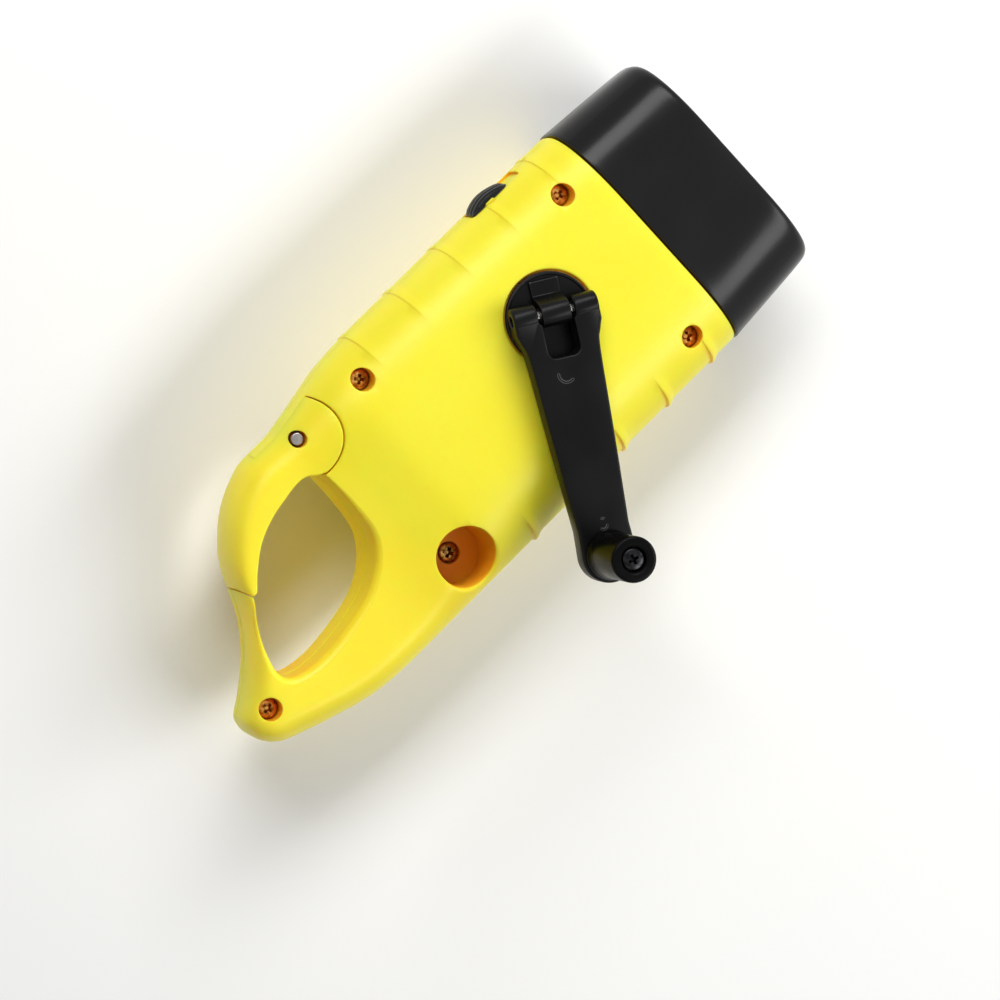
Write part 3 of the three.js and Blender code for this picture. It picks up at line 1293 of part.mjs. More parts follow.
function addAt(parent, [x, y], pieces) {
  const group = new THREE.Group();
  group.position.set(x, y, 0);
  for (const [name, solid, finish] of pieces) group.add(makePiece(name, solid, finish));
  parent.add(group);
  return group;
}

function addGears() {
  add('gear_plate', gearPlateSolid(), COLORS.nylon);
  for (const [name, at] of Object.entries(POST_PLACES)) {
    add(`plate_screw_${name}`, plateScrew(at), COLORS.steel);
  }
  const pinBottom = PLATE_BOTTOM_Z - 2 * FIT_GAP;
  const pin = () => rod(GEAR_PIN_RADIUS, pinBottom, CEILING_Z - 2 * FIT_GAP);
  addAt(flashlight, stage1Place, [
    ['compound_gear_1', compoundGear(0, CRANK_MODULE, STAGE_1_ANGLE, STAGE_2_ANGLE), COLORS.nylon],
    ['gear_pin_1', pin(), COLORS.steel],
  ]);
  addAt(flashlight, stage2Place, [
    ['compound_gear_2', compoundGear(1, TRAIN_MODULE, STAGE_2_ANGLE, ROTOR_ANGLE), COLORS.nylon],
    ['gear_pin_2', pin(), COLORS.steel],
  ]);
  const pinionTurn = gapAngle(ROTOR_ANGLE);
  const pinion = gearSolid(PINION_TEETH, TRAIN_MODULE, pinionTurn, levelTop[2], GEAR_PIN_RADIUS + FIT_GAP);
  const magnet = tubeAlongZ(MAGNET_RADIUS, GEAR_PIN_RADIUS + FIT_GAP, MAGNET_BOTTOM_Z, MAGNET_TOP_Z);
  const shaft = rod(GEAR_PIN_RADIUS, CAN_BOTTOM_Z + FIT_GAP / 2, levelTop[2] + FIT_GAP);
  addAt(flashlight, rotorPlace, [
    ['rotor_pinion', pinion, COLORS.nylon],
    ['magnet_rotor', magnet, COLORS.magnet],
    ['rotor_shaft', shaft, COLORS.steel],
    ['stator_can', statorCan(), COLORS.steel],
    ['stator_claws', statorClaws(), COLORS.steel],
    ['coil_bobbin', coilBobbin(), COLORS.nylon],
    ['coil_winding', coilWinding(), COLORS.copper],
  ]);
}

function addCrank() {
  const hub = addAt(flashlight, hubPlace, [
    ['crank_hub', hubSolid(), COLORS.black],
    ['crank_gear', gearSolid(
      GEAR_TEETH, CRANK_MODULE, STAGE_1_ANGLE - ARM_OPEN_ANGLE, levelTop[0], HUB_BORE_RADIUS,
    ), COLORS.nylon],
    ['shaft_clip', shaftClip(), COLORS.steel],
  ]);
  hub.rotation.z = armTurn;
  const arm = new THREE.Group();
  arm.position.set(-HINGE_OFFSET, 0, HINGE_Z);
  const pinHalf = ARM_HINGE_HALF - ARM_BEVEL;
  arm.add(makePiece('hinge_pin', rodAlongY(HINGE_PIN_RADIUS, -pinHalf, pinHalf, 0, 0), COLORS.steel));
  arm.add(makePiece('crank_arm', armSolid(), COLORS.black));
  addAt(arm, [KNOB_REACH, 0], [
    ['knob', knobSolid(), COLORS.black],
    ['knob_screw', knobScrew(), COLORS.steel],
  ]);
  hub.add(arm);
}

addCasing();
addLamp();
addElectrics();
addGears();
addCrank();

export default flashlight;
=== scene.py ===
"""Hand crank flashlight with a carabiner tail: its pieces, their finishes and a plain studio.

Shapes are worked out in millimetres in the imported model's frame, and each finished mesh is scaled to metres.
X points to the lamp end, Y to the switch side and Z out of the crank face. Angles are in degrees.
"""

import logging
import math
from dataclasses import dataclass
from enum import Enum
from typing import Callable, Optional, Sequence, Union

import bmesh
import bpy
from mathutils import Matrix, Vector


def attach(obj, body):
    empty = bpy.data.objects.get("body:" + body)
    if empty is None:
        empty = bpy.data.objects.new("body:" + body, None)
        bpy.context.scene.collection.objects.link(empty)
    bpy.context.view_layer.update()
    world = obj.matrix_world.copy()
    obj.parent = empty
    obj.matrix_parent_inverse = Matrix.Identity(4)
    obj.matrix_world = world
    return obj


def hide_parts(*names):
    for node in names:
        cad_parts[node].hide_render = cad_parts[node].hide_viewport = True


log = logging.getLogger("flashlight")
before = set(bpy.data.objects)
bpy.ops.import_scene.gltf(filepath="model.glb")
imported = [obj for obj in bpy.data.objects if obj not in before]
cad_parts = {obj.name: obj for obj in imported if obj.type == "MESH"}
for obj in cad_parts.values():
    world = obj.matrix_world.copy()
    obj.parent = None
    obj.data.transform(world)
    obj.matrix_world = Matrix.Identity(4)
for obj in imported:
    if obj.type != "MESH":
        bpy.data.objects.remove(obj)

# One millimetre in metres, and the distance in millimetres under which points are merged.
MM = 0.001
MERGE = 1e-4
# Heights of the case's parting plane and of its crank face.
PART_Z = 20.0
FACE_Z = 33.0
# Points round a boss or a screw hole, and round the larger holes.
ROD_SIDES = 72
RIM_SIDES = 144

Pair = tuple[float, float]
Path = list[Pair]
Row = tuple[float, ...]
Table = tuple[Row, ...]
Mesh = bmesh.types.BMesh
Tree = bpy.types.NodeTree
Socket = bpy.types.NodeSocket


class Combine(Enum):
    """How a second solid acts on the first one."""

    CUT = "DIFFERENCE"
    JOIN = "UNION"
    KEEP = "INTERSECT"


class Half(Enum):
    """The two halves of the case, on either side of the parting plane."""

    CRANK_SIDE = 1
    SOLAR_SIDE = -1


class Rim(Enum):
    """Whether a wall's rim opens outwards, as a hole's does, or closes inwards, as a piece's does."""

    HOLE = 1
    PIECE = -1


# Finishes


def linear(code: str) -> tuple[float, float, float, float]:
    """Turn an sRGB hex colour to the linear colour that a shader takes.

    Args:
        code: six hex digits.

    Returns:
        Linear red, green, blue and full alpha.
    """
    channels = [int(code[place:place + 2], 16) / 255 for place in (0, 2, 4)]
    return (*[c / 12.92 if c <= 0.04045 else ((c + 0.055) / 1.055) ** 2.4 for c in channels], 1.0)


def add_node(tree: Tree, kind: str, sockets: dict, **settings: object) -> bpy.types.Node:
    """Add a node with its settings, values and links.

    Args:
        tree: the node tree that gets it.
        kind: the node's type.
        sockets: input names or numbers, each with a value or the output that feeds it.
        settings: the node's own properties.

    Returns:
        The new node.
    """
    node = tree.nodes.new(kind)
    for key, value in settings.items():
        setattr(node, key, value)
    for key, value in sockets.items():
        if isinstance(value, Socket):
            tree.links.new(value, node.inputs[key])
        else:
            node.inputs[key].default_value = value
    return node


@dataclass(frozen=True)
class Finish:
    """A surface with patches of a second colour and a fine relief, both sized in millimetres."""

    name: str
    colour: str
    second: str
    roughness: float
    spread: float = 0.05
    patch_mm: float = 20.0
    grain_mm: float = 0.6
    relief_mm: float = 0.01
    stretch: Row = (1.0, 1.0, 1.0)
    metallic: float = 0.0
    ior: float = 1.5
    level: float = 0.5
    sockets: tuple[tuple[str, object], ...] = ()

    def material(self) -> bpy.types.Material:
        """Build the material, or find it when it is there already.

        Returns:
            The material.
        """
        made = bpy.data.materials.get(self.name)
        if made:
            return made
        made = bpy.data.materials.new(self.name)
        made.use_nodes = True
        made.diffuse_color = linear(self.colour)
        tree = made.node_tree
        place = add_node(tree, "ShaderNodeTexCoord", {}).outputs["Object"]
        patches = self.patches(tree, place)
        colours = {0: patches, 6: linear(self.colour), 7: linear(self.second)}
        colour = add_node(tree, "ShaderNodeMix", colours, data_type="RGBA").outputs[2]
        gloss = add_node(tree, "ShaderNodeMapRange", {
            "Value": patches, "To Min": self.roughness - self.spread, "To Max": self.roughness + self.spread,
        })
        bump = add_node(tree, "ShaderNodeBump", {
            "Strength": 1.0, "Distance": self.relief_mm * MM, "Height": self.relief(tree, place),
        })
        shader = tree.nodes["Principled BSDF"]
        tree.links.new(self.paint_light(tree, colour), shader.inputs["Base Color"])
        tree.links.new(gloss.outputs["Result"], shader.inputs["Roughness"])
        tree.links.new(bump.outputs["Normal"], shader.inputs["Normal"])
        own = (("Metallic", self.metallic), ("IOR", self.ior), ("Specular IOR Level", self.level))
        for socket, value in own + self.sockets:
            shader.inputs[socket].default_value = value
        return made

    def paint_light(self, tree: Tree, colour: Socket) -> Socket:
        """Give the colour as it is; painted light finishes paint shade and highlights into it here."""
        return colour

    def patches(self, tree: Tree, place: Socket) -> Socket:
        """Draw the soft patches of the second colour.

        Args:
            tree: the material's tree.
            place: object coordinates.

        Returns:
            A factor from 0 to 1.
        """
        noise = add_node(tree, "ShaderNodeTexNoise", {
            "Vector": place, "Scale": 1 / (self.patch_mm * MM), "Detail": 1.0,
        })
        return add_node(tree, "ShaderNodeMapRange", {
            "Value": noise.outputs["Fac"], "From Min": 0.3, "From Max": 0.7,
        }, interpolation_type="SMOOTHERSTEP").outputs["Result"]

    def relief(self, tree: Tree, place: Socket) -> Socket:
        """Draw the fine relief.

        Args:
            tree: the material's tree.
            place: object coordinates.

        Returns:
            A height from 0 to 1.
        """
        stretched = add_node(tree, "ShaderNodeMapping", {"Vector": place, "Scale": self.stretch})
        return add_node(tree, "ShaderNodeTexNoise", {
            "Vector": stretched.outputs["Vector"], "Scale": 1 / (self.grain_mm * MM), "Detail": 2.0,
        }).outputs["Fac"]


@dataclass(frozen=True)
class PaintedLightFinish(Finish):
    """A surface with another colour painted in as light and shade: painted shade inside its own hollows, or a painted
    highlight along its own outer edges.

    The painted colour starts where the open share round a point falls under one value and is strongest at the other.
    """

    # The painted light colour: by default the deeper orange painted into the yellow's hollows as shade.
    painted_light_colour: str = "F2B424"
    reach_mm: float = 18.0
    none_at: float = 0.92
    full_at: float = 0.58
    most: float = 1.0
    on_edges: bool = False

    def paint_light(self, tree: Tree, colour: Socket) -> Socket:
        """Mix the painted light colour in, by how closed in the surface is: painted shade in hollows, painted
        highlight on edges.

        Args:
            tree: the material's tree.
            colour: the plain colour.

        Returns:
            The mixed colour.
        """
        # Painted light from the piece's own shape: its ambient occlusion paints shade into hollows, and with on_edges
        # paints highlights along outer edges.
        openness = add_node(
            tree, "ShaderNodeAmbientOcclusion", {"Distance": self.reach_mm * MM}, samples=8, only_local=True,
            inside=self.on_edges,
        )
        share = add_node(tree, "ShaderNodeMapRange", {
            "Value": openness.outputs["AO"], "From Min": self.none_at, "From Max": self.full_at,
            "To Max": self.most,
        })
        colours = {0: share.outputs["Result"], 6: colour, 7: linear(self.painted_light_colour)}
        return add_node(tree, "ShaderNodeMix", colours, data_type="RGBA").outputs[2]


@dataclass(frozen=True)
class StripedFinish(Finish):
    """A surface with thin parallel lines of the second colour across X."""

    pitch_mm: float = 4.0
    line_share: float = 0.06

    def patches(self, tree: Tree, place: Socket) -> Socket:
        """Draw the lines.

        Args:
            tree: the material's tree.
            place: object coordinates.

        Returns:
            A factor that is 1 on a line.
        """
        wave = add_node(
            tree, "ShaderNodeTexWave", {"Vector": place, "Scale": math.pi / (10 * self.pitch_mm * MM)},
            bands_direction="X",
        )
        return add_node(tree, "ShaderNodeMapRange", {
            "Value": wave.outputs["Fac"], "From Min": 1 - 2 * self.line_share, "From Max": 1 - self.line_share,
        }).outputs["Result"]


# Moulded ABS in bright yellow: satin, with a fine spark-eroded grain, and it lets a little light through, so that
# holes and folds glow orange;
# the deeper orange in its own hollows and folds is painted shade. The grain is 0.3 mm on the real one, drawn at 0.7 mm
# so that it shows.
YELLOW_ABS = PaintedLightFinish(
    "moulded_yellow_abs", "FDE83A", "FBE430", 0.38, 0.03, 24.0, 0.7, 0.012, ior=1.53, level=0.25,
    sockets=(("Subsurface Weight", 0.6), ("Subsurface Radius", (1.0, 0.4, 0.06)), ("Subsurface Scale", 0.004)),
)
# Moulded black ABS of the lamp bezel: satin black that shows soft grey reflections.
BEZEL_ABS = Finish(
    "moulded_black_bezel_abs", "0A0A0B", "0D0D0E", 0.23, 0.02, 16.0, 0.6, 0.008, ior=1.53, level=0.165,
)
# A thin pale line painted along a black moulding's outer edges: mostly painted highlight, standing in for glints off
# the rounded edges, and partly the wear where hands rub it.
EDGE_HIGHLIGHT_AND_WEAR = {"reach_mm": 0.45, "none_at": 0.78, "full_at": 0.45, "most": 0.85, "on_edges": True}
# Glass-filled nylon of the crank: satin and very dark, with pale painted highlight lines along its edges, partly their
# rubbed wear.
CRANK_NYLON = PaintedLightFinish(
    "moulded_black_crank_nylon", "060607", "0A0A0B", 0.3, 0.04, 12.0, 0.5, 0.012, ior=1.53, level=0.1,
    painted_light_colour="77777A", **EDGE_HIGHLIGHT_AND_WEAR,
)
# The same nylon polished by fingers on the knob: it shows almost pure black, with a pale painted highlight along its
# edges and the lip of its recess.
KNOB_NYLON = PaintedLightFinish(
    "polished_black_knob_nylon", "030303", "060607", 0.26, 0.04, 12.0, 0.5, 0.008, ior=1.53, level=0.05,
    painted_light_colour="3C3C3E", **EDGE_HIGHLIGHT_AND_WEAR,
)
# Moulded black of the switch's thumb piece: glossy, so that its ridges show light streaks, helped by pale painted
# highlight lines along the ridges and edges.
THUMB_PLASTIC = PaintedLightFinish(
    "moulded_black_switch_plastic", "050506", "09090A", 0.17, 0.04, 6.0, 0.4, 0.008, ior=1.52, level=0.26,
    painted_light_colour="2E2E31", **EDGE_HIGHLIGHT_AND_WEAR,
)
# Yellow-passivated steel screws of the case: a warm brassy metal whose dull heads pick up the plastic round them.
SCREW_STEEL = Finish("passivated_screw_steel", "DCA456", "94601F", 0.33, 0.08, 0.9, 0.3, 0.02, metallic=1.0)
# The pocket's screw: a darker copy of the brassy screw steel, painted shade for its place deep in the pocket, with
# small sharp glints.
SHADED_POCKET_SCREW_STEEL = Finish("shaded_pocket_screw_steel", "B08A4E", "74501F", 0.26, 0.08, 0.9, 0.3, 0.02, metallic=1.0)
# Black-oxide steel of the knob's screw.
BLACK_STEEL = Finish("black_oxide_steel", "2A2A2C", "161617", 0.32, 0.08, 1.2, 0.25, 0.01, metallic=1.0)
# Ground steel pins, clips and springs: bright grey with fine grinding lines, drawn at 0.2 mm.
GROUND_STEEL = Finish("ground_steel", "A29E9A", "868280", 0.27, 0.06, 2.0, 0.2, 0.006, (1.0, 1.0, 6.0), metallic=1.0)
# Zinc-plated pressed sheet of the generator's can and claws: greyer, with faint spangle.
ZINC_SHEET = Finish("zinc_plated_sheet", "AEB2B6", "969A9F", 0.38, 0.08, 3.0, 0.5, 0.01, metallic=1.0)
# Vacuum-metallised reflector: mirror bright with the faint waviness of the moulding under it.
METALLISED = Finish("metallised_reflector", "DFE1E3", "D3D5D8", 0.08, 0.03, 9.0, 5.0, 0.02, metallic=1.0)
# Injection-moulded polycarbonate of the lens and the solar window: clear, a hair of haze.
POLYCARBONATE = Finish(
    "clear_polycarbonate", "F6F8F8", "F0F4F5", 0.04, 0.02, 15.0, 6.0, 0.01, ior=1.58,
    sockets=(("Transmission Weight", 1.0),),
)
# Nitrile seal behind the lens front: dull black rubber.
SEAL_RUBBER = Finish("nitrile_seal_rubber", "1B1B1C", "242425", 0.78, 0.06, 3.0, 0.3, 0.01, level=0.3)
# Cast epoxy of the lamps: water clear with a slightly milky body.
LAMP_EPOXY = Finish(
    "cast_lamp_epoxy", "FBFAF2", "F1EFE0", 0.06, 0.03, 2.0, 3.0, 0.01, ior=1.54,
    sockets=(("Transmission Weight", 0.75),),
)
# Solder-masked glass-epoxy boards: green, with copper tracks just visible as darker lines 1.27 mm apart.
BOARD_LAMINATE = StripedFinish(
    "solder_masked_board", "1F6B3A", "174F2C", 0.34, 0.06, grain_mm=0.5, relief_mm=0.015, ior=1.55,
    pitch_mm=1.27, line_share=0.3,
)
# PVC shrink sleeve of the battery: blue, glossy, tight.
SHRINK_SLEEVE = Finish("pvc_shrink_sleeve", "2C6CB2", "245C9B", 0.22, 0.05, 6.0, 2.0, 0.03, ior=1.54)
# Amorphous silicon on glass: near black blue with pale scribe lines 5 mm apart.
SILICON_CELL = StripedFinish(
    "amorphous_silicon_cell", "171A35", "6C7590", 0.12, 0.04, grain_mm=3.0, relief_mm=0.004, ior=1.6,
    sockets=(("Coat Weight", 0.6),), pitch_mm=5.0, line_share=0.03,
)
# Silicone sleeves of the leads: red, matt.
LEAD_SLEEVE = Finish("silicone_lead_sleeve", "B32420", "9C1E1B", 0.45, 0.05, 4.0, 0.4, 0.01, ior=1.45)
# Natural acetal gears and plate: ivory white, smooth, slightly translucent.
GEAR_ACETAL = Finish(
    "moulded_natural_acetal", "EDEADF", "E3DFD1", 0.36, 0.05, 5.0, 0.6, 0.01, ior=1.48,
    sockets=(("Subsurface Weight", 0.1), ("Subsurface Radius", (1.0, 0.8, 0.6)), ("Subsurface Scale", 0.001)),
)
# Sintered ferrite magnet: charcoal, gritty.
FERRITE = Finish("sintered_ferrite", "3B3B3E", "2F2F32", 0.6, 0.08, 1.5, 0.3, 0.02, metallic=0.2)
# Enamelled copper wire of the winding: lacquered, with turns 0.3 mm apart.
ENAMELLED_COPPER = StripedFinish(
    "enamelled_copper_wire", "B5652D", "7E3F18", 0.3, 0.06, grain_mm=0.4, relief_mm=0.03, metallic=1.0,
    pitch_mm=0.3, line_share=0.3,
)


# Curves and meshes, in millimetres


def cubic(start: float, end: float, leaving: float, arriving: float, t: float) -> float:
    """Run a cubic curve between two values.

    Args:
        start: the first value.
        end: the last value.
        leaving: the slope at the start.
        arriving: the slope at the end.
        t: share of the way.

    Returns:
        The value there.
    """
    bend = 3 * (end - start) - 2 * leaving - arriving
    return start + leaving * t + bend * t * t + (2 * (start - end) + leaving + arriving) * t ** 3


def smooth_path(points: Sequence[Pair], step: float, closed: bool = False) -> Path:
    """Run a smooth curve through points.

    Args:
        points: places in plan.
        step: longest distance between the new points.
        closed: whether the curve runs back to its start.

    Returns:
        The denser row of points.
    """
    count = len(points)
    made: Path = []
    for index in range(count if closed else count - 1):
        around = [index + shift for shift in (-1, 0, 1, 2)]
        held = [at % count if closed else min(max(at, 0), count - 1) for at in around]
        before, start, end, after = (Vector(points[at]) for at in held)
        pieces = max(1, math.ceil((end - start).length / step))
        for n in range(pieces):
            t = n / pieces
            spot = 0.5 * (
                2 * start + (end - before) * t + (2 * before - 5 * start + 4 * end - after) * t * t
                + (3 * start - before - 3 * end + after) * t ** 3
            )
            made.append((spot.x, spot.y))
    return made if closed else [*made, points[-1]]


def arc(centre: Pair, radius: float, first: float, last: float, count: int) -> Path:
    """Place points along an arc.

    Args:
        centre: its middle.
        radius: its radius.
        first: angle of the first point.
        last: angle of the last point.
        count: steps between them.

    Returns:
        The points, one more than the steps.
    """
    turns = [math.radians(first + (last - first) * n / count) for n in range(count + 1)]
    return [(centre[0] + radius * math.cos(a), centre[1] + radius * math.sin(a)) for a in turns]


def circle_path(centre: Pair, radius: float, count: int) -> Path:
    """Place points evenly on a circle, anticlockwise."""
    return arc(centre, radius, 0, 360, count)[:-1]


def skin(rings: Sequence[Sequence[Vector]], closed: bool = False) -> Mesh:
    """Skin a row of rings that have equal counts of points.

    Args:
        rings: the rings in order.
        closed: whether the last ring joins the first, otherwise both ends are filled.

    Returns:
        The closed mesh.
    """
    mesh = bmesh.new()
    order = mesh.verts.layers.int.new("order")
    first = bmesh.ops.create_circle(mesh, cap_ends=False, radius=1, segments=len(rings[0]))["verts"]
    for index, vertex in enumerate(first):
        vertex.co = rings[0][index]
        vertex[order] = index
    start = edges = list(mesh.edges)
    for ring in rings[1:]:
        made = bmesh.ops.extrude_edge_only(mesh, edges=edges)["geom"]
        fresh = {item for item in made if isinstance(item, bmesh.types.BMVert)}
        for vertex in fresh:
            vertex.co = ring[vertex[order]]
        edges = [item for item in made if isinstance(item, bmesh.types.BMEdge) and set(item.verts) <= fresh]
    if closed:
        bmesh.ops.bridge_loops(mesh, edges=start + edges)
    else:
        bmesh.ops.holes_fill(mesh, edges=start + edges, sides=0)
    bmesh.ops.recalc_face_normals(mesh, faces=mesh.faces)
    return mesh


def prism(outline: Path, low: float, high: float) -> Mesh:
    """Raise an outline in plan to a solid between two heights."""
    return skin([[Vector((x, y, height)) for x, y in outline] for height in (low, high)])


def slab(x0: float, x1: float, y0: float, y1: float, z0: float, z1: float) -> Mesh:
    """Make a rectangular block between six limits."""
    return prism([(x0, y0), (x1, y0), (x1, y1), (x0, y1)], z0, z1)


def rod(place: Pair, radius: float, low: float, high: float) -> Mesh:
    """Make a round bar along Z at a place in plan, between two heights."""
    return prism(circle_path(place, radius, ROD_SIDES), low, high)


def turned(profile: Path, segments: int) -> Mesh:
    """Turn a profile about the Z axis.

    Args:
        profile: pairs of radius and height, which start and end on the axis or close on themselves.
        segments: steps round the axis.

    Returns:
        The closed mesh.
    """
    mesh = bmesh.new()
    verts = [mesh.verts.new((radius, 0.0, height)) for radius, height in profile]
    pairs = list(zip(verts, verts[1:]))
    if max(profile[0][0], profile[-1][0]) > MERGE:
        pairs.append((verts[-1], verts[0]))
    edges = [mesh.edges.new(pair) for pair in pairs]
    bmesh.ops.spin(
        mesh, geom=verts + edges, cent=(0, 0, 0), axis=(0, 0, 1), angle=2 * math.pi, steps=segments, use_merge=True
    )
    bmesh.ops.remove_doubles(mesh, verts=mesh.verts, dist=MERGE)
    bmesh.ops.recalc_face_normals(mesh, faces=mesh.faces)
    return mesh


def pin(radius: float, low: float, high: float, segments: int) -> Mesh:
    """Turn a plain round bar about the Z axis, between two heights."""
    return turned([(0.0, low), (radius, low), (radius, high), (0.0, high)], segments)


def cross_pin(radius: float, low: float, high: float) -> Mesh:
    """Turn a plain round bar about the Y axis, between two places along it."""
    return rotated(pin(radius, low, high, segments=56), -90, "X")


def soften(mesh: Mesh, width: float, segments: int = 3, limit: float = 35.0,
           chosen: Callable[[Vector], bool] = lambda middle: True) -> Mesh:
    """Round a mesh's sharp edges.

    Args:
        mesh: the mesh.
        width: width of the rounding.
        segments: faces across it.
        limit: edges that turn by more than this are rounded.
        chosen: tells by an edge's middle whether it is rounded.

    Returns:
        The same mesh.
    """
    sharp = [
        edge for edge in mesh.edges
        if edge.calc_face_angle(0.0) > math.radians(limit) and chosen((edge.verts[0].co + edge.verts[1].co) / 2)
    ]
    bmesh.ops.bevel(
        mesh, geom=sharp, offset=width, segments=segments, profile=0.5, affect="EDGES", material=-1,
        clamp_overlap=True,
    )
    return mesh


def moved(mesh: Mesh, matrix: Matrix) -> Mesh:
    """Move or turn a mesh and give it back."""
    bmesh.ops.transform(mesh, matrix=matrix, verts=mesh.verts)
    return mesh


def shifted(mesh: Mesh, x: float, y: float, z: float = 0.0) -> Mesh:
    """Shift a mesh and give it back."""
    return moved(mesh, Matrix.Translation((x, y, z)))


def rotated(mesh: Mesh, turn: float, axis: str = "Z") -> Mesh:
    """Turn a mesh about an axis through the origin and give it back."""
    return moved(mesh, Matrix.Rotation(math.radians(turn), 4, axis))


def placed(name: str, data: bpy.types.ID) -> bpy.types.Object:
    """Add an object with its data to the scene.

    Args:
        name: the object's name.
        data: its mesh, camera or lamp.

    Returns:
        The object.
    """
    made = bpy.data.objects.new(name, data)
    bpy.context.scene.collection.objects.link(made)
    return made


def stored(mesh: Mesh, name: str) -> bpy.types.Mesh:
    """Store a mesh, which is freed, as an object's data.

    Args:
        mesh: the mesh.
        name: the data's name.

    Returns:
        The data.
    """
    data = bpy.data.meshes.new(name)
    mesh.to_mesh(data)
    mesh.free()
    return data


def discard(working: bpy.types.Object) -> None:
    """Remove a working object and its mesh."""
    data = working.data
    bpy.data.objects.remove(working)
    bpy.data.meshes.remove(data)


def combine(base: Mesh, how: Combine, *tools: Mesh) -> Mesh:
    """Cut, join or keep a solid by others. All of them are freed.

    Args:
        base: the solid that changes.
        how: what the others do to it.
        tools: the other solids.

    Returns:
        The changed solid.
    """
    held = placed("base", stored(base, "base"))
    for number, tool in enumerate(tools):
        other = placed("tool", stored(tool, "tool"))
        modifier = held.modifiers.new("combine", "BOOLEAN")
        modifier.operation, modifier.solver, modifier.object = how.value, "MANIFOLD", other
        bpy.context.view_layer.update()
        seen = held.evaluated_get(bpy.context.evaluated_depsgraph_get())
        faces, old = len(seen.data.polygons), held.data
        if not faces or (how is Combine.CUT and faces == len(old.polygons)):
            log.warning("a solid didn't change: %s number %d", how.name, number)
        held.data = bpy.data.meshes.new_from_object(seen)
        held.modifiers.clear()
        bpy.data.meshes.remove(old)
        discard(other)
    mesh = bmesh.new()
    mesh.from_mesh(held.data)
    discard(held)
    return mesh


def finished(mesh: Mesh, name: str, finish: Finish, body: str, nodes: Sequence[str],
             sharp: float = 32.0) -> None:
    """Turn a mesh to a piece of the flashlight.

    Args:
        mesh: the mesh in millimetres, which is freed.
        name: the piece's name.
        finish: its finish.
        body: the CAD body that it rides on.
        nodes: the CAD nodes that it replaces.
        sharp: edges that turn by more than this stay sharp.
    """
    bmesh.ops.remove_doubles(mesh, verts=mesh.verts, dist=MERGE)
    bmesh.ops.scale(mesh, vec=(MM, MM, MM), verts=mesh.verts)
    data = stored(mesh, name)
    data.shade_smooth()
    data.set_sharp_from_angle(angle=math.radians(sharp))
    data.materials.append(finish.material())
    piece = placed(name, data)
    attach(piece, body)
    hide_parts(*nodes)
    log.info("%s: %d faces", name, len(data.polygons))


# The body's outer form


@dataclass(frozen=True)
class Section:
    """One cross-section of the body, from the centre line and the parting plane."""

    high: float
    low: float
    top: float
    bottom: float
    edge: float

    def inset(self, depth: float) -> "Section":
        """Move the section inwards; its edges keep at least half their width."""
        edge = max(self.edge - depth, self.edge / 2)
        return Section(self.high - depth, self.low + depth, self.top - depth, self.bottom - depth, edge)


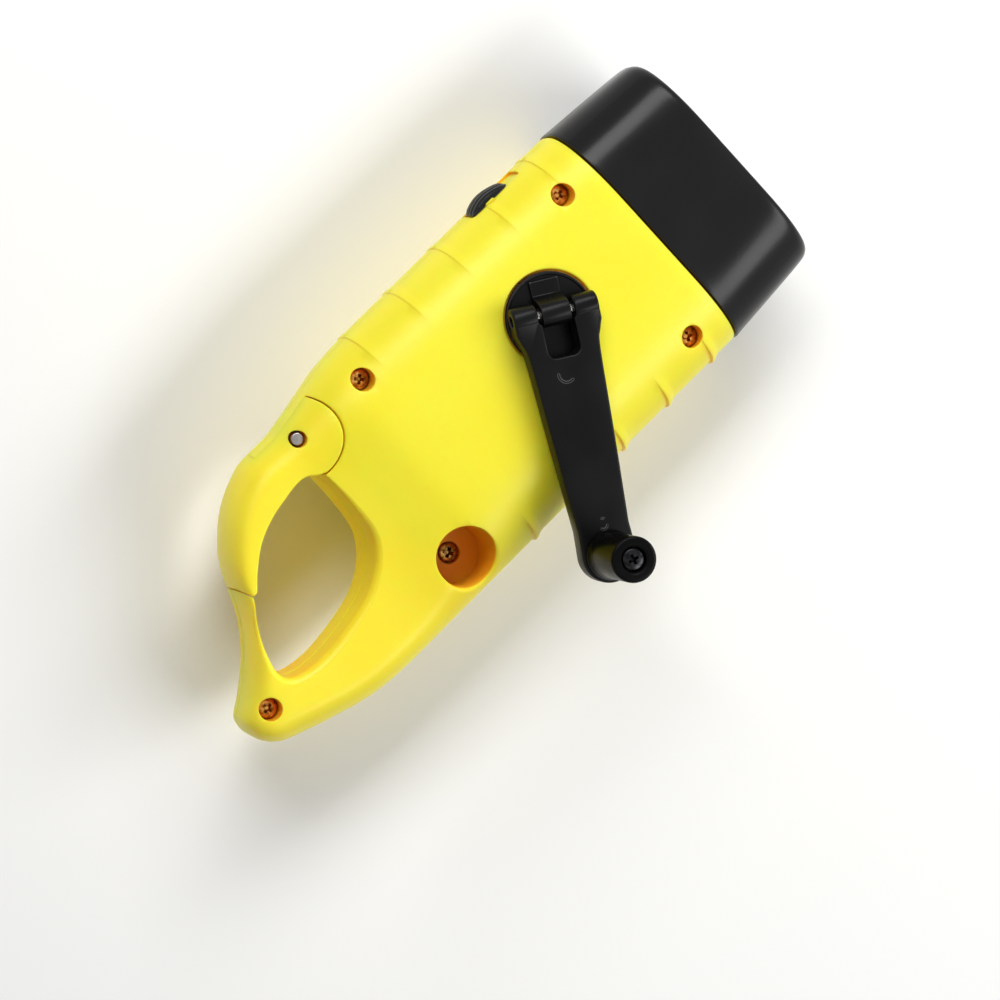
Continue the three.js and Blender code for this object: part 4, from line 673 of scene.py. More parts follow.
@dataclass(frozen=True)
class CaseForm:
    """The outer form of the case: sections along the body, with soft edges and side ribs.

    Each row holds a place along the body as a share of the tail length, then the section's high, low, top,
    bottom and edge as shares of the body's own sizes.
    """

    half_width: float = 27.8
    top_rise: float = 13.0
    bottom_depth: float = 20.0
    tail_length: float = 99.3
    neck_x: float = 26.9
    edge_width: float = 17.8
    lower_edge_share: float = 0.83
    power: float = 2.3
    edge_limit_share: float = 0.45
    rows: Table = (
        (0.282, 1, -1, 1, 1, 1), (0.383, 0.982, -1, 0.985, 0.93, 0.9), (0.453, 0.942, -1, 0.892, 0.75, 0.7),
        (0.514, 0.903, -1, 0.785, 0.58, 0.53), (0.569, 0.878, -1, 0.715, 0.48, 0.42),
        (0.624, 0.878, -1, 0.692, 0.45, 0.36), (0.675, 0.827, -0.998, 0.692, 0.45, 0.36),
        (0.72, 0.745, -0.989, 0.692, 0.45, 0.36), (0.76, 0.626, -0.971, 0.692, 0.45, 0.36),
        (0.7925, 0.496, -0.946, 0.692, 0.45, 0.36), (0.8117, 0.374, -0.928, 0.692, 0.45, 0.36),
        (0.8228, 0.273, -0.917, 0.692, 0.45, 0.36), (0.847, 0.0935, -0.888, 0.692, 0.45, 0.36),
        (0.873, -0.032, -0.86, 0.692, 0.45, 0.36), (0.901, -0.144, -0.824, 0.692, 0.45, 0.36),
        (0.9295, -0.234, -0.788, 0.692, 0.45, 0.36), (0.9567, -0.313, -0.748, 0.677, 0.44, 0.34),
        (0.981, -0.37, -0.676, 0.585, 0.38, 0.28), (1.0, -0.424, -0.561, 0.385, 0.25, 0.2),
    )
    quarter_steps: int = 14
    flat_steps: int = 6
    station_step: float = 1.6
    groove_half: float = 0.25
    groove_depth: float = 0.22
    front_round: float = 0.4
    front_shares: Row = (0, 0.3, 1)
    tail_round: float = 1.2
    tail_shares: Row = (1, 0.8, 0.6, 0.4, 0.25, 0.12, 0.04, 0)
    tail_least: float = 0.02
    rib_front_x: float = 20.8
    rib_pitch: float = 12.7
    rib_count: int = 5
    rib_rise: float = 0.6
    rib_switch_side_share: float = 0.35
    rib_steps: tuple[Pair, ...] = (
        (-1.0, 0.0), (-0.9, 0.35), (-0.78, 0.9), (-0.6, 1.0), (-0.2, 0.9), (0.4, 0.55), (0.9, 0.2), (1.4, 0.0),
    )
    rib_face_y: float = 20.3
    rib_full_y: float = 24.8
    rib_bottom_z: float = 9.0
    rib_foot: float = 2.0
    rim_turns: Row = (80, 64, 48, 32, 16, 0)
    rim_low_z: float = 17.0
    rim_high_z: float = 23.0
    under_z: float = -10.0
    over_z: float = 45.0

    def place(self, along: float, across: float) -> Pair:
        """Turn shares of the tail length and the half width to a place in plan."""
        return (-along * self.tail_length, across * self.half_width)

    def at(self, x: float) -> Section:
        """Find the section at a place along the body, on a smooth curve through the rows.

        Args:
            x: the place.

        Returns:
            The section.
        """
        along = min(max(-x / self.tail_length, self.rows[0][0]), 1.0)
        after = max(1, next(n for n, row in enumerate(self.rows) if row[0] >= along))
        front, rear = self.rows[after - 1], self.rows[after]
        width = rear[0] - front[0]
        scales = (self.half_width, self.half_width, self.top_rise, self.bottom_depth, self.edge_width)
        sizes = []
        for key, scale in enumerate(scales, 1):
            leaving, arriving = (self.slope(row, key) * width for row in (after - 1, after))
            share = cubic(front[key], rear[key], leaving, arriving, (along - front[0]) / width)
            sizes.append(share * scale)
        high, low, top, bottom, edge = sizes
        return Section(high, low, top, bottom, min(edge, self.edge_limit_share * (high - low)))

    def slope(self, row: int, key: int) -> float:
        """Find how fast a share changes at a row.

        Args:
            row: the row's number.
            key: the share's number.

        Returns:
            The change per share of the tail length, kept from overshooting.
        """
        if row in (0, len(self.rows) - 1):
            return 0.0 if row == 0 else self.rise(row - 1, key)
        before, after = self.rise(row - 1, key), self.rise(row, key)
        return 0.0 if before * after <= 0 else 2 * before * after / (before + after)

    def rise(self, row: int, key: int) -> float:
        """Give the plain slope of a share between a row and the next."""
        start, end = self.rows[row:row + 2]
        return (end[key] - start[key]) / (end[0] - start[0])

    def half_sizes(self, section: Section, half: Half) -> Pair:
        """Give a section's edge width and rise on one side of the parting plane."""
        if half is Half.CRANK_SIDE:
            return section.edge, section.top
        return section.edge * self.lower_edge_share, section.bottom

    def height(self, x: float, y: float, half: Half = Half.CRANK_SIDE) -> float:
        """Find the height of the surface over or under a place in plan.

        Args:
            x: the place along the body.
            y: the place across it.
            half: which surface.

        Returns:
            The height, which is the parting plane's beyond the silhouette.
        """
        section = self.at(x)
        edge, rise = self.half_sizes(section, half)
        past = min(max(y - (section.high - edge), section.low + edge - y, 0) / edge, 1)
        return PART_Z + half.value * rise * (1 - past ** self.power) ** (1 / self.power)

    def corner(self, edge: float, rise: float) -> list[Row]:
        """Follow one rounded corner of a section from its side to its face.

        Args:
            edge: its width.
            rise: its height.

        Returns:
            For each point its place across and up, and the outward direction there.
        """
        first = math.asin(min((self.groove_half / rise) ** (self.power / 2), 1.0))
        points = []
        for n in range(self.quarter_steps + 1):
            angle = first + (math.pi / 2 - first) * n / self.quarter_steps
            across = 0.0 if n == self.quarter_steps else math.cos(angle) ** (2 / self.power)
            up = math.sin(angle) ** (2 / self.power)
            lean = Vector((across ** (self.power - 1) / edge, up ** (self.power - 1) / rise)).normalized()
            points.append((edge * across, rise * up, lean.x, lean.y))
        return points

    def ring(self, x: float, section: Section, groove: float = 0.0, swell: float = 0.0) -> list[Vector]:
        """Lay the points of one section.

        Args:
            x: its place along the body.
            section: its sizes.
            groove: depth of the groove along the parting line.
            swell: how far the ribs stand out there.

        Returns:
            The points, once round.
        """
        points = []
        for half in Half:
            sign = half.value
            edge, rise = self.half_sizes(section, half)
            right, left = (
                [self.on_skin(x, start, side, point, sign, swell) for point in self.corner(edge, rise)]
                for start, side in ((section.high - edge, 1), (section.low + edge, -1))
            )
            steps = self.flat_steps + 1
            flat = [right[-1].lerp(left[-1], n / steps) for n in range(1, steps)]
            points += (right + flat + left[::-1])[::sign]
            side_y = section.low if half is Half.CRANK_SIDE else section.high
            points.append(Vector((x, side_y - sign * (swell - groove), PART_Z)))
        return points

    def on_skin(self, x: float, start: float, side: int, point: Row, sign: int, swell: float) -> Vector:
        """Place one point of a section, pushed out where a rib passes.

        Args:
            x: the section's place.
            start: where its corner starts across the body.
            side: 1 on the switch side, -1 on the other.
            point: the corner's point and its outward direction.
            sign: 1 above the parting plane, -1 below it.
            swell: how far the ribs stand out there.

        Returns:
            The point.
        """
        across, up, lean_y, lean_z = point
        y, z = start + side * across, PART_Z + sign * up
        over_face = (abs(y) - self.rib_face_y) / (self.rib_full_y - self.rib_face_y)
        over_foot = (z - self.rib_bottom_z) / self.rib_foot
        share = swell * min(max(over_face, 0), 1) * min(max(over_foot, 0), 1)
        if side > 0:
            share *= self.rib_switch_side_share
        return Vector((x, y + side * lean_y * share, z + sign * lean_z * share))

    def swell_at(self, x: float) -> float:
        """Find how far the ribs stand out at a place along the body.

        Args:
            x: the place.

        Returns:
            The height of the rib there.
        """
        for n in range(self.rib_count):
            offset = x - (self.rib_front_x - n * self.rib_pitch)
            for (low, a), (high, b) in zip(self.rib_steps, self.rib_steps[1:]):
                if low <= offset <= high:
                    return self.rib_rise * (a + (b - a) * (offset - low) / (high - low))
        return 0.0

    def stations(self) -> list[float]:
        """List the places of the sections, closer together at each rib and at both ends.

        Returns:
            The places, from the front.
        """
        ribs = [self.rib_front_x - n * self.rib_pitch for n in range(self.rib_count)]
        tail = [-self.tail_length + self.tail_round * share for share in self.tail_shares]
        marks = [rib + offset for rib in ribs for offset, _ in self.rib_steps]
        marks += [self.neck_x - self.front_round * share for share in self.front_shares] + tail
        x = self.neck_x - 2 * self.front_round
        while x > tail[0] + self.station_step / 2:
            if all(abs(x - mark) > self.station_step / 3 for mark in marks):
                marks.append(x)
            x -= self.station_step
        return sorted(set(marks), reverse=True)

    def solid(self, groove: float = 0.0, ribs: bool = False, depth: float = 0.0) -> Mesh:
        """Build the whole outer form.

        Args:
            groove: depth of the groove along the parting line.
            ribs: whether it has the ribs.
            depth: how far it lies under the surface.

        Returns:
            The closed mesh.
        """
        rings = []
        for x in self.stations():
            section = self.at(x).inset(depth)
            short = self.front_round - (self.neck_x - x)
            if short > 0:
                section = section.inset(self.front_round - math.sqrt(max(self.front_round ** 2 - short ** 2, 0)))
            ring = self.ring(x, section, groove, self.swell_at(x) if ribs else 0.0)
            to_tail = x + self.tail_length
            if to_tail < self.tail_round:
                share = math.sqrt(max(1 - (1 - to_tail / self.tail_round) ** 2, self.tail_least ** 2))
                middle = Vector((x, (section.high + section.low) / 2, PART_Z))
                ring = [middle + (point - middle) * share for point in ring]
            rings.append(ring)
        return skin(rings)

    def along(self, sections: Sequence[tuple[float, Section]], closed: bool = False) -> Mesh:
        """Skin plain sections, each with its place along the body."""
        return skin([self.ring(x, section) for x, section in sections], closed)

    def wall(self, path: Path, rims: Union[float, Sequence[float]], rim: Rim, floor: Optional[float] = None,
             groove: float = 0.0) -> Mesh:
        """Build a solid whose wall follows a path and whose rim rounds into the case's surface.

        Args:
            path: the wall in plan.
            rims: the rim's radius, one for all or one for each point.
            rim: whether the solid cuts a hole or keeps a piece.
            floor: height of its lower end, or None to go right through.
            groove: depth of the parting line's groove in the wall.

        Returns:
            The closed mesh.
        """
        count = len(path)
        radii = [rims] * count if isinstance(rims, float) else rims
        area = sum(path[n - 1][0] * path[n][1] - path[n][0] * path[n - 1][1] for n in range(count))
        outward = []
        for n in range(count):
            ahead = Vector(path[(n + 1) % count]) - Vector(path[n - 1])
            outward.append(Vector((ahead.y, -ahead.x)).normalized() * math.copysign(1.0, area))

        def row(share: float, height: Callable[[float, float, float], float]) -> list[Vector]:
            """Lay one ring, moved out by a share of the rim's radius."""
            spots = []
            for point, normal, radius in zip(path, outward, radii):
                spot = Vector(point) + normal * (rim.value * share * radius)
                spots.append(Vector((*spot, height(spot.x, spot.y, radius))))
            return spots

        shares = [(1 - math.cos(math.radians(turn)), 1 - math.sin(math.radians(turn))) for turn in self.rim_turns]
        if floor is None:
            rings = [row(shares[0][0], lambda x, y, radius: self.under_z)]
            for share, drop in shares:
                rings.append(row(share, lambda x, y, radius: (
                    min(self.height(x, y, Half.SOLAR_SIDE), self.rim_low_z) + drop * radius
                )))
            if groove:
                for rise, depth in ((-self.groove_half, 0), (0, groove), (self.groove_half, 0)):
                    spots = [Vector(point) + normal * depth for point, normal in zip(path, outward)]
                    rings.append([Vector((*spot, PART_Z + rise)) for spot in spots])
        else:
            rings = [row(0, lambda x, y, radius: floor)]
        for share, drop in reversed(shares):
            rings.append(row(share, lambda x, y, radius: max(self.height(x, y), self.rim_high_z) - drop * radius))
        rings.append(row(shares[0][0], lambda x, y, radius: self.over_z))
        return skin(rings)


# Fasteners


@dataclass(frozen=True)
class CrossScrew:
    """A cross-head screw with a low domed head and rolled threads."""

    head_radius: float = 2.0
    head_height: float = 1.4
    head_edge: float = 0.12
    dome: float = 0.45
    dome_steps: int = 6
    neck: float = 0.6
    shank_radius: float = 1.2
    thread_depth: float = 0.22
    thread_pitch: float = 0.9
    thread_shape: tuple[Pair, ...] = ((1, 0), (1, 0.35), (0, 0.7))
    thread_end: float = 1.8
    tip: float = 1.5
    drive_half: float = 1.35
    drive_width: float = 0.8
    drive_depth: float = 1.3
    drive_taper: Pair = (0.3, 0.5)
    drive_above: float = 0.5

    def mesh(self, place: Pair, head_top: float, end: float, turn: float) -> Mesh:
        """Build the screw.

        Args:
            place: its axis in plan.
            head_top: height of the top of its head.
            end: height of its tip.
            turn: angle of the cross.

        Returns:
            The closed mesh.
        """
        seat, radius, shank = head_top - self.head_height, self.head_radius, self.shank_radius
        profile = [(0.0, head_top)]
        for n in range(1, self.dome_steps + 1):
            angle = math.radians(90 * n / self.dome_steps)
            profile.append((radius * math.sin(angle), head_top - self.dome * (1 - math.cos(angle))))
        profile += [(radius, seat + self.head_edge), (radius - self.head_edge, seat), (shank, seat)]
        height = seat - self.neck
        while height > end + self.thread_end:
            profile += [
                (shank - deep * self.thread_depth, height - share * self.thread_pitch)
                for deep, share in self.thread_shape
            ]
            height -= self.thread_pitch
        profile += [(shank - self.thread_depth, end + self.tip), (0.0, end)]
        arms = []
        for quarter in (0, 90):
            arm = bmesh.new()
            bmesh.ops.create_cube(arm, size=1.0)
            for vertex in arm.verts:
                below = vertex.co.z < 0
                along, across = self.drive_taper if below else (1.0, 1.0)
                vertex.co.x *= 2 * self.drive_half * along
                vertex.co.y *= self.drive_width * across
                vertex.co.z = head_top - self.drive_depth if below else head_top + self.drive_above
            arms.append(rotated(arm, quarter))
        return shifted(rotated(combine(turned(profile, segments=40), Combine.CUT, *arms), turn), *place)


@dataclass(frozen=True)
class Fasteners:
    """The case screws and the gate's pin, at the places that both halves of the case are bored for."""

    form: CaseForm = CaseForm()
    hole_radius: float = 2.3
    boss_radius: float = 4.0
    sink: float = 3.2
    bite: float = 6.0
    hole_rim: float = 0.18
    pin_place: Pair = (-52.6, 21.3)
    pin_radius: float = 1.26
    pin_sink: float = 0.5
    pin_edge: float = 0.2
    pocket_place: Pair = (-44.51, -18.78)
    pocket_screw_z: Row = (16.2, 7.0)
    pocket_turn: float = 30.0
    screw: CrossScrew = CrossScrew()
    pocket_screw: CrossScrew = CrossScrew(drive_width=0.9, drive_depth=1.6)
    places: tuple[tuple[str, float, float, float], ...] = (
        ("case_screw_front_left", 18.8, 19.4, 20.0), ("case_screw_front_right", 18.8, -19.4, 65.0),
        ("case_screw_rear", -35.5, 21.1, 40.0), ("case_screw_tail", -93.2, -13.1, 10.0),
    )

    def head_top(self, x: float, y: float) -> float:
        """Give the height of the top of a case screw's head."""
        return self.form.height(x, y) - self.sink

    def build(self) -> None:
        """Build and dress the screws and the pin."""
        for name, x, y, turn in self.places:
            mesh = self.screw.mesh((x, y), self.head_top(x, y), PART_Z - self.bite, turn)
            finished(mesh, f"{name}_brassy", SCREW_STEEL, "body", [name])
        mesh = self.pocket_screw.mesh(self.pocket_place, *self.pocket_screw_z, self.pocket_turn)
        # Painted shade: the pocket's screw takes a darker copy of the screw steel because it sits deep in its pocket.
        finished(mesh, "pocket_screw_brassy", SHADED_POCKET_SCREW_STEEL, "body", ["pocket_screw"])
        low, high = (self.form.height(*self.pin_place, half) for half in (Half.SOLAR_SIDE, Half.CRANK_SIDE))
        mesh = soften(pin(self.pin_radius, low + self.pin_sink, high - self.pin_sink, segments=40), self.pin_edge)
        finished(shifted(mesh, *self.pin_place), "gate_pin_ground", GROUND_STEEL, "body", ["gate_pin"])


# Casing


@dataclass(frozen=True)
class LoopForm:
    """The carabiner loop in plan: the body-side wall, the horn and the gate's edges.

    The wall and the gate's inner edge are held as shares of the tail length and the half width.
    """

    wall_shares: tuple[Pair, ...] = (
        (0.5402, 0.468), (0.5388, 0.34), (0.5405, 0.17), (0.5485, -0.055), (0.5687, -0.192), (0.603, -0.305),
        (0.655, -0.4), (0.736, -0.458), (0.804, -0.472), (0.857, -0.435), (0.8775, -0.34), (0.866, -0.16),
        (0.841, 0.014), (0.8165, 0.147), (0.8105, 0.19),
    )
    wall_rims: Row = (0.15, 0.35, 0.7, 1.1, 1.4, 1.5, 1.6, 1.8, 1.9, 1.7, 1.4, 1.1, 0.8, 0.5, 0.3)
    wall_back: tuple[Pair, ...] = (
        (-79.0, 7.6), (-75.5, 11.0), (-71.0, 13.8), (-65.6, 15.8), (-59.5, 16.4), (-55.6, 15.0),
    )
    gate_shares: tuple[Pair, ...] = (
        (0.5408, 0.464), (0.557, 0.507), (0.599, 0.532), (0.6605, 0.507), (0.72, 0.428), (0.7675, 0.302),
        (0.799, 0.192), (0.8095, 0.199),
    )
    gate_tip: Pair = (-80.4, 5.53)
    gate_split: Pair = (-0.37, 0.929)
    gate_split_length: float = 16.0
    gate_outside: tuple[Pair, ...] = ((-72.5, 30.6), (-52.6, 31.1))
    space_reach: float = 2.5
    space_edge: tuple[Pair, ...] = (
        (-53.7, 12.9), (-56.0, 13.0), (-60.0, 13.6), (-66.0, 13.0), (-72.0, 10.5), (-77.0, 6.0),
    )
    throat: tuple[Pair, ...] = (
        (-53.4, 12.75), (-54.4, 13.35), (-55.2, 13.9), (-56.2, 14.7), (-57.7, 15.15), (-59.5, 15.12),
        (-61.4, 14.85), (-63.4, 14.2), (-61.0, 12.2), (-56.5, 11.4),
    )
    step: float = 0.6


@dataclass(frozen=True)
class Casing:
    """The two yellow halves of the case.

    Bosses and bores are held as a radius and the heights of both ends. Blocks are held as their limits along
    X, Y and Z.
    """

    form: CaseForm = CaseForm()
    loop: LoopForm = LoopForm()
    fasteners: Fasteners = Fasteners()
    wall: float = 2.0
    hollow_x: Row = (25.0, 20.0, -46.0, -49.0)
    hollow_step: float = 3.0
    neck_end_x: float = 32.0
    neck_inset: float = 2.4
    neck_wall: float = 1.6
    neck_edge: float = 0.3
    knuckle_radius: float = 8.5
    knuckle_sides: int = 140
    knuckle_gap: float = 0.28
    knuckle_overlap: float = 0.05
    space_rim: float = 0.3
    space_z: Pair = (-2.0, 36.0)
    tongue_half: float = 4.0
    tongue_past: float = 3.0
    gate_gap: float = 0.25
    hub_place: Pair = (0.0, 4.0)
    seat_radius: float = 9.5
    seat_depth: float = 1.3
    seat_rim: float = 0.45
    hub_boss: Row = (11.5, 29.6, 32.0)
    hub_bore: Row = (4.1, 18.0, 33.5)
    pocket_radius: float = 6.2
    pocket_floor: float = 16.5
    pocket_cup: Row = (7.7, 13.0, 36.0)
    pocket_cup_gap: float = 0.3
    pocket_soft_rim: float = 1.7
    pocket_crisp_rim: float = 0.2
    pocket_rim_power: float = 1.3
    pocket_bores: Table = ((2.3, 14.5, 17.5), (1.5, 12.0, 17.0))
    pocket_boss_top: float = 12.7
    pocket_screw_floor: float = 6.0
    post_places: tuple[Pair, ...] = ((-34.0, 12.0), (-31.5, -19.0), (14.5, 13.0))
    post: Row = (2.2, 18.8, 32.0)
    post_bore: Row = (1.2, 18.5, 24.5)
    socket_places: tuple[Pair, ...] = ((-13.789, -7.570), (-27.970, -5.070))
    socket: Row = (2.3, 29.5, 32.0)
    socket_bore: Row = (1.3, 18.5, 30.8)
    pin_bores: Table = ((2.8, 16.8, 23.2), (1.56, 15.0, 25.0))
    lead_place: Pair = (9.0, 9.0)
    lead_bore: Row = (0.9, 0.0, 5.0)
    switch_cut: Row = (3.7, 17.0, 27.15, 45.6, 15.9, 24.0)
    switch_corner: float = 1.1
    slot_cut: Row = (6.75, 13.95, 23.8, 27.8, 18.6, 21.4)
    guide: Row = (7.5, 9.5, 25.6, 27.7, 23.95, 24.6)
    guide_corner: float = 0.2
    window_recess: Row = (-24.3, 20.3, -12.3, 12.3, -1.0, 2.4)
    window_corner: float = 1.0
    panel_bed: Row = (-26.0, 22.0, -14.0, 14.0, -1.0, 4.0)
    rests: Table = ((-12.8, -10.8, 15.65, 20.05, 3.0, 8.7), (11.0, 13.0, 15.65, 20.05, 3.0, 8.7))
    bore: float = 1.5
    bore_depth: float = 7.0
    bore_cover: float = 2.0
    hole_floor_gap: float = 0.3
    boss_cover: float = 1.0
    boss_gap: float = 0.02
    half_gap: float = 0.01
    box_xy: Row = (-120.0, 60.0, -40.0, 40.0)
    box_z: Pair = (-5.0, 60.0)
    skin_depth: float = 0.8

    def gate_outline(self, gap: float) -> Path:
        """Draw the gate's region in plan.

        Args:
            gap: how far the region reaches past the gate's tip, or 0 for the gate itself.

        Returns:
            The outline.
        """
        split = Vector(self.loop.gate_split)
        tip = Vector(self.loop.gate_tip) + Vector((-split.y, split.x)) * gap
        inner = tip - split * (self.loop.space_reach if gap else 0.0)
        outer = tip + split * self.loop.gate_split_length
        outside = [tuple(inner.lerp(outer, n / 24)) for n in range(25)]
        edge = self.loop.space_edge
        if not gap:
            edge = smooth_path([self.form.place(*pair) for pair in self.loop.gate_shares], self.loop.step)[:-1]
        return [*outside, *self.loop.gate_outside, self.fasteners.pin_place, *edge]

    def knuckle(self, radius: float, rim: float, kind: Rim) -> Mesh:
        """Build the disc of the gate's knuckle with its rim rounded into the surface."""
        return self.form.wall(circle_path(self.fasteners.pin_place, radius, self.knuckle_sides), rim, kind)

    def loop_hole(self) -> Mesh:
        """Build the solid that cuts the loop, with a rim that widens and narrows between its points.

        Returns:
            The closed mesh.
        """
        points = [self.form.place(*pair) for pair in self.loop.wall_shares]
        path = smooth_path(points, self.loop.step)
        radii = []
        for spot in path:
            (near, a), (far, b) = sorted(zip((math.dist(spot, point) for point in points), self.loop.wall_rims))[:2]
            radii.append((a * far + b * near) / (near + far))
        path += self.loop.wall_back
        radii += [self.space_rim] * len(self.loop.wall_back)
        return self.form.wall(path, radii, Rim.HOLE, groove=self.form.groove_depth)

    def gate_space(self) -> Mesh:
        """Build the space that the gate takes out of the case.

        Returns:
            The closed mesh.
        """
        place, radius = self.fasteners.pin_place, self.knuckle_radius + self.knuckle_gap
        low, high = self.space_z
        tongue = rod(place, radius + self.tongue_past, PART_Z - self.tongue_half, PART_Z + self.tongue_half)
        disc = combine(self.knuckle(radius, self.space_rim, Rim.HOLE), Combine.CUT, tongue)
        core = rod(place, radius - self.knuckle_overlap, low - 1, high + 1)
        region = combine(prism(self.gate_outline(self.gate_gap), low, high), Combine.CUT, core)
        return combine(disc, Combine.JOIN, region)

    def switch_space(self) -> Mesh:
        """Build the recess and the slot of the side switch.

        Returns:
            The closed mesh.
        """
        middle_y = sum(self.switch_cut[2:4]) / 2
        recess = slab(*self.switch_cut)
        recess = soften(recess, self.switch_corner, segments=5, chosen=lambda middle: abs(middle.y - middle_y) < 1)
        return combine(recess, Combine.JOIN, slab(*self.slot_cut))

    def hollow(self) -> Mesh:
        """Build the hollow inside the case and the mouth of the neck.

        Returns:
            The closed mesh.
        """
        root, front, rear, end = self.hollow_x
        steps = round((front - rear) / self.hollow_step)
        marks = [root] + [front - self.hollow_step * n for n in range(steps + 1)] + [end]
        main = self.form.along([(x, self.form.at(x).inset(self.wall)) for x in marks])
        neck = self.form.at(0.0).inset(self.neck_inset + self.neck_wall)
        mouth = self.form.along([(self.neck_end_x + 1, neck), (root - 1, neck)])
        keep = rod(self.fasteners.pin_place, self.knuckle_radius + self.wall, -1.0, 34.0)
        return combine(combine(main, Combine.JOIN, mouth), Combine.CUT, keep, slab(*self.panel_bed))

    def rough(self) -> Mesh:
        """Build both halves in one, without bosses.

        Returns:
            The closed mesh.
        """
        neck, end, edge = self.form.at(0.0).inset(self.neck_inset), self.neck_end_x, self.neck_edge
        marks = [(end, neck.inset(edge)), (end - edge, neck), (self.form.neck_x - 1, neck)]
        body = combine(self.form.solid(self.form.groove_depth, True), Combine.JOIN, self.form.along(marks))
        return combine(body, Combine.CUT, self.hollow(), self.loop_hole(), self.gate_space(), self.switch_space())

    def halved(self, rough: Mesh, half: Half, core: Mesh, added: list[Mesh]) -> Mesh:
        """Keep one half of the case and join its bosses to it.

        Args:
            rough: both halves in one.
            half: which half.
            core: the outer form a little under the surface, which the bosses are kept inside.
            added: the bosses.

        Returns:
            The half.
        """
        low, high = self.box_z
        if half is Half.CRANK_SIDE:
            low = PART_Z + self.half_gap
        else:
            high = PART_Z - self.half_gap
        kept = combine(rough, Combine.KEEP, slab(*self.box_xy, low, high))
        return combine(kept, Combine.JOIN, *[combine(solid, Combine.KEEP, core.copy()) for solid in added])

    def crank_side(self, rough: Mesh, core: Mesh) -> Mesh:
        """Build the crank-side half.

        Args:
            rough: both halves in one.
            core: the outer form a little under the surface.

        Returns:
            The closed mesh.
        """
        form, marks = self.form, self.fasteners
        holes = [((x, y), form.height(x, y)) for _, x, y, _ in marks.places]
        pocket = marks.pocket_place
        added = [rod(place, marks.boss_radius, PART_Z + self.boss_gap, top - self.boss_cover) for place, top in holes]
        added += [rod(place, *self.post) for place in self.post_places]
        added += [rod(place, *self.socket) for place in self.socket_places]
        added += [rod(self.hub_place, *self.hub_boss), rod(pocket, *self.pocket_cup)]
        upper = self.halved(rough, Half.CRANK_SIDE, core, added)
        outer_y = self.guide[3]
        tab = soften(slab(*self.guide), self.guide_corner, chosen=lambda middle: middle.y > outer_y - 0.7)
        upper = combine(upper, Combine.JOIN, tab)
        cuts = []
        for place, top in holes:
            path = circle_path(place, marks.hole_radius, ROD_SIDES)
            floor = marks.head_top(*place) - marks.screw.head_height - self.hole_floor_gap
            cuts.append(form.wall(path, marks.hole_rim, Rim.HOLE, floor))
            cuts.append(rod(place, self.bore, PART_Z - 1, top - self.bore_cover))
        seat = circle_path(self.hub_place, self.seat_radius, RIM_SIDES)
        cuts.append(form.wall(seat, self.seat_rim, Rim.HOLE, FACE_Z - self.seat_depth))
        cuts.append(rod(self.hub_place, *self.hub_bore))
        mouth = circle_path(pocket, self.pocket_radius, RIM_SIDES)
        facing = [max(0.0, -(y - pocket[1]) / self.pocket_radius) ** self.pocket_rim_power for _, y in mouth]
        widening = self.pocket_soft_rim - self.pocket_crisp_rim
        radii = [self.pocket_crisp_rim + widening * share for share in facing]
        cuts.append(form.wall(mouth, radii, Rim.HOLE, self.pocket_floor))
        cuts += [rod(pocket, *bore) for bore in self.pocket_bores]
        cuts += [rod(place, *self.post_bore) for place in self.post_places]
        cuts += [rod(place, *self.socket_bore) for place in self.socket_places]
        cuts += [rod(marks.pin_place, *bore) for bore in self.pin_bores]
        return combine(upper, Combine.CUT, *cuts)

    def solar_side(self, rough: Mesh, core: Mesh) -> Mesh:
        """Build the solar-side half.

        Args:
            rough: both halves in one.
            core: the outer form a little under the surface.

        Returns:
            The closed mesh.
        """
        marks, pocket = self.fasteners, self.fasteners.pocket_place
        tops = [((x, y), PART_Z - self.boss_gap) for _, x, y, _ in marks.places] + [(pocket, self.pocket_boss_top)]
        added = []
        for place, top in tops:
            foot = self.form.height(*place, Half.SOLAR_SIDE) + self.boss_cover
            added.append(rod(place, marks.boss_radius, foot, top))
        lower = self.halved(rough, Half.SOLAR_SIDE, core, added + [slab(*rest) for rest in self.rests])
        cuts = [rod((x, y), self.bore, PART_Z - self.bore_depth, PART_Z + 1) for _, x, y, _ in marks.places]
        radius, low, _ = self.pocket_cup
        cuts.append(rod(pocket, radius + self.pocket_cup_gap, low - self.pocket_cup_gap, PART_Z + 1))
        cuts.append(rod(pocket, self.bore, self.pocket_screw_floor, PART_Z))
        middle_z = sum(self.window_recess[4:]) / 2
        recess = slab(*self.window_recess)
        recess = soften(recess, self.window_corner, segments=5, chosen=lambda middle: abs(middle.z - middle_z) < 1)
        cuts.append(recess)
        cuts.append(rod(self.lead_place, *self.lead_bore))
        cuts += [rod(marks.pin_place, *bore) for bore in self.pin_bores]
        return combine(lower, Combine.CUT, *cuts)

    def build(self) -> None:
        """Build and dress both halves."""
        rough, core = self.rough(), self.form.solid(depth=self.skin_depth)
        for half, name, node in (
            (self.crank_side, "crank_side_case", "crank_side_shell"),
            (self.solar_side, "solar_side_case", "solar_side_shell"),
        ):
            finished(half(rough.copy(), core), name, YELLOW_ABS, "body", [node])
        rough.free()
        core.free()


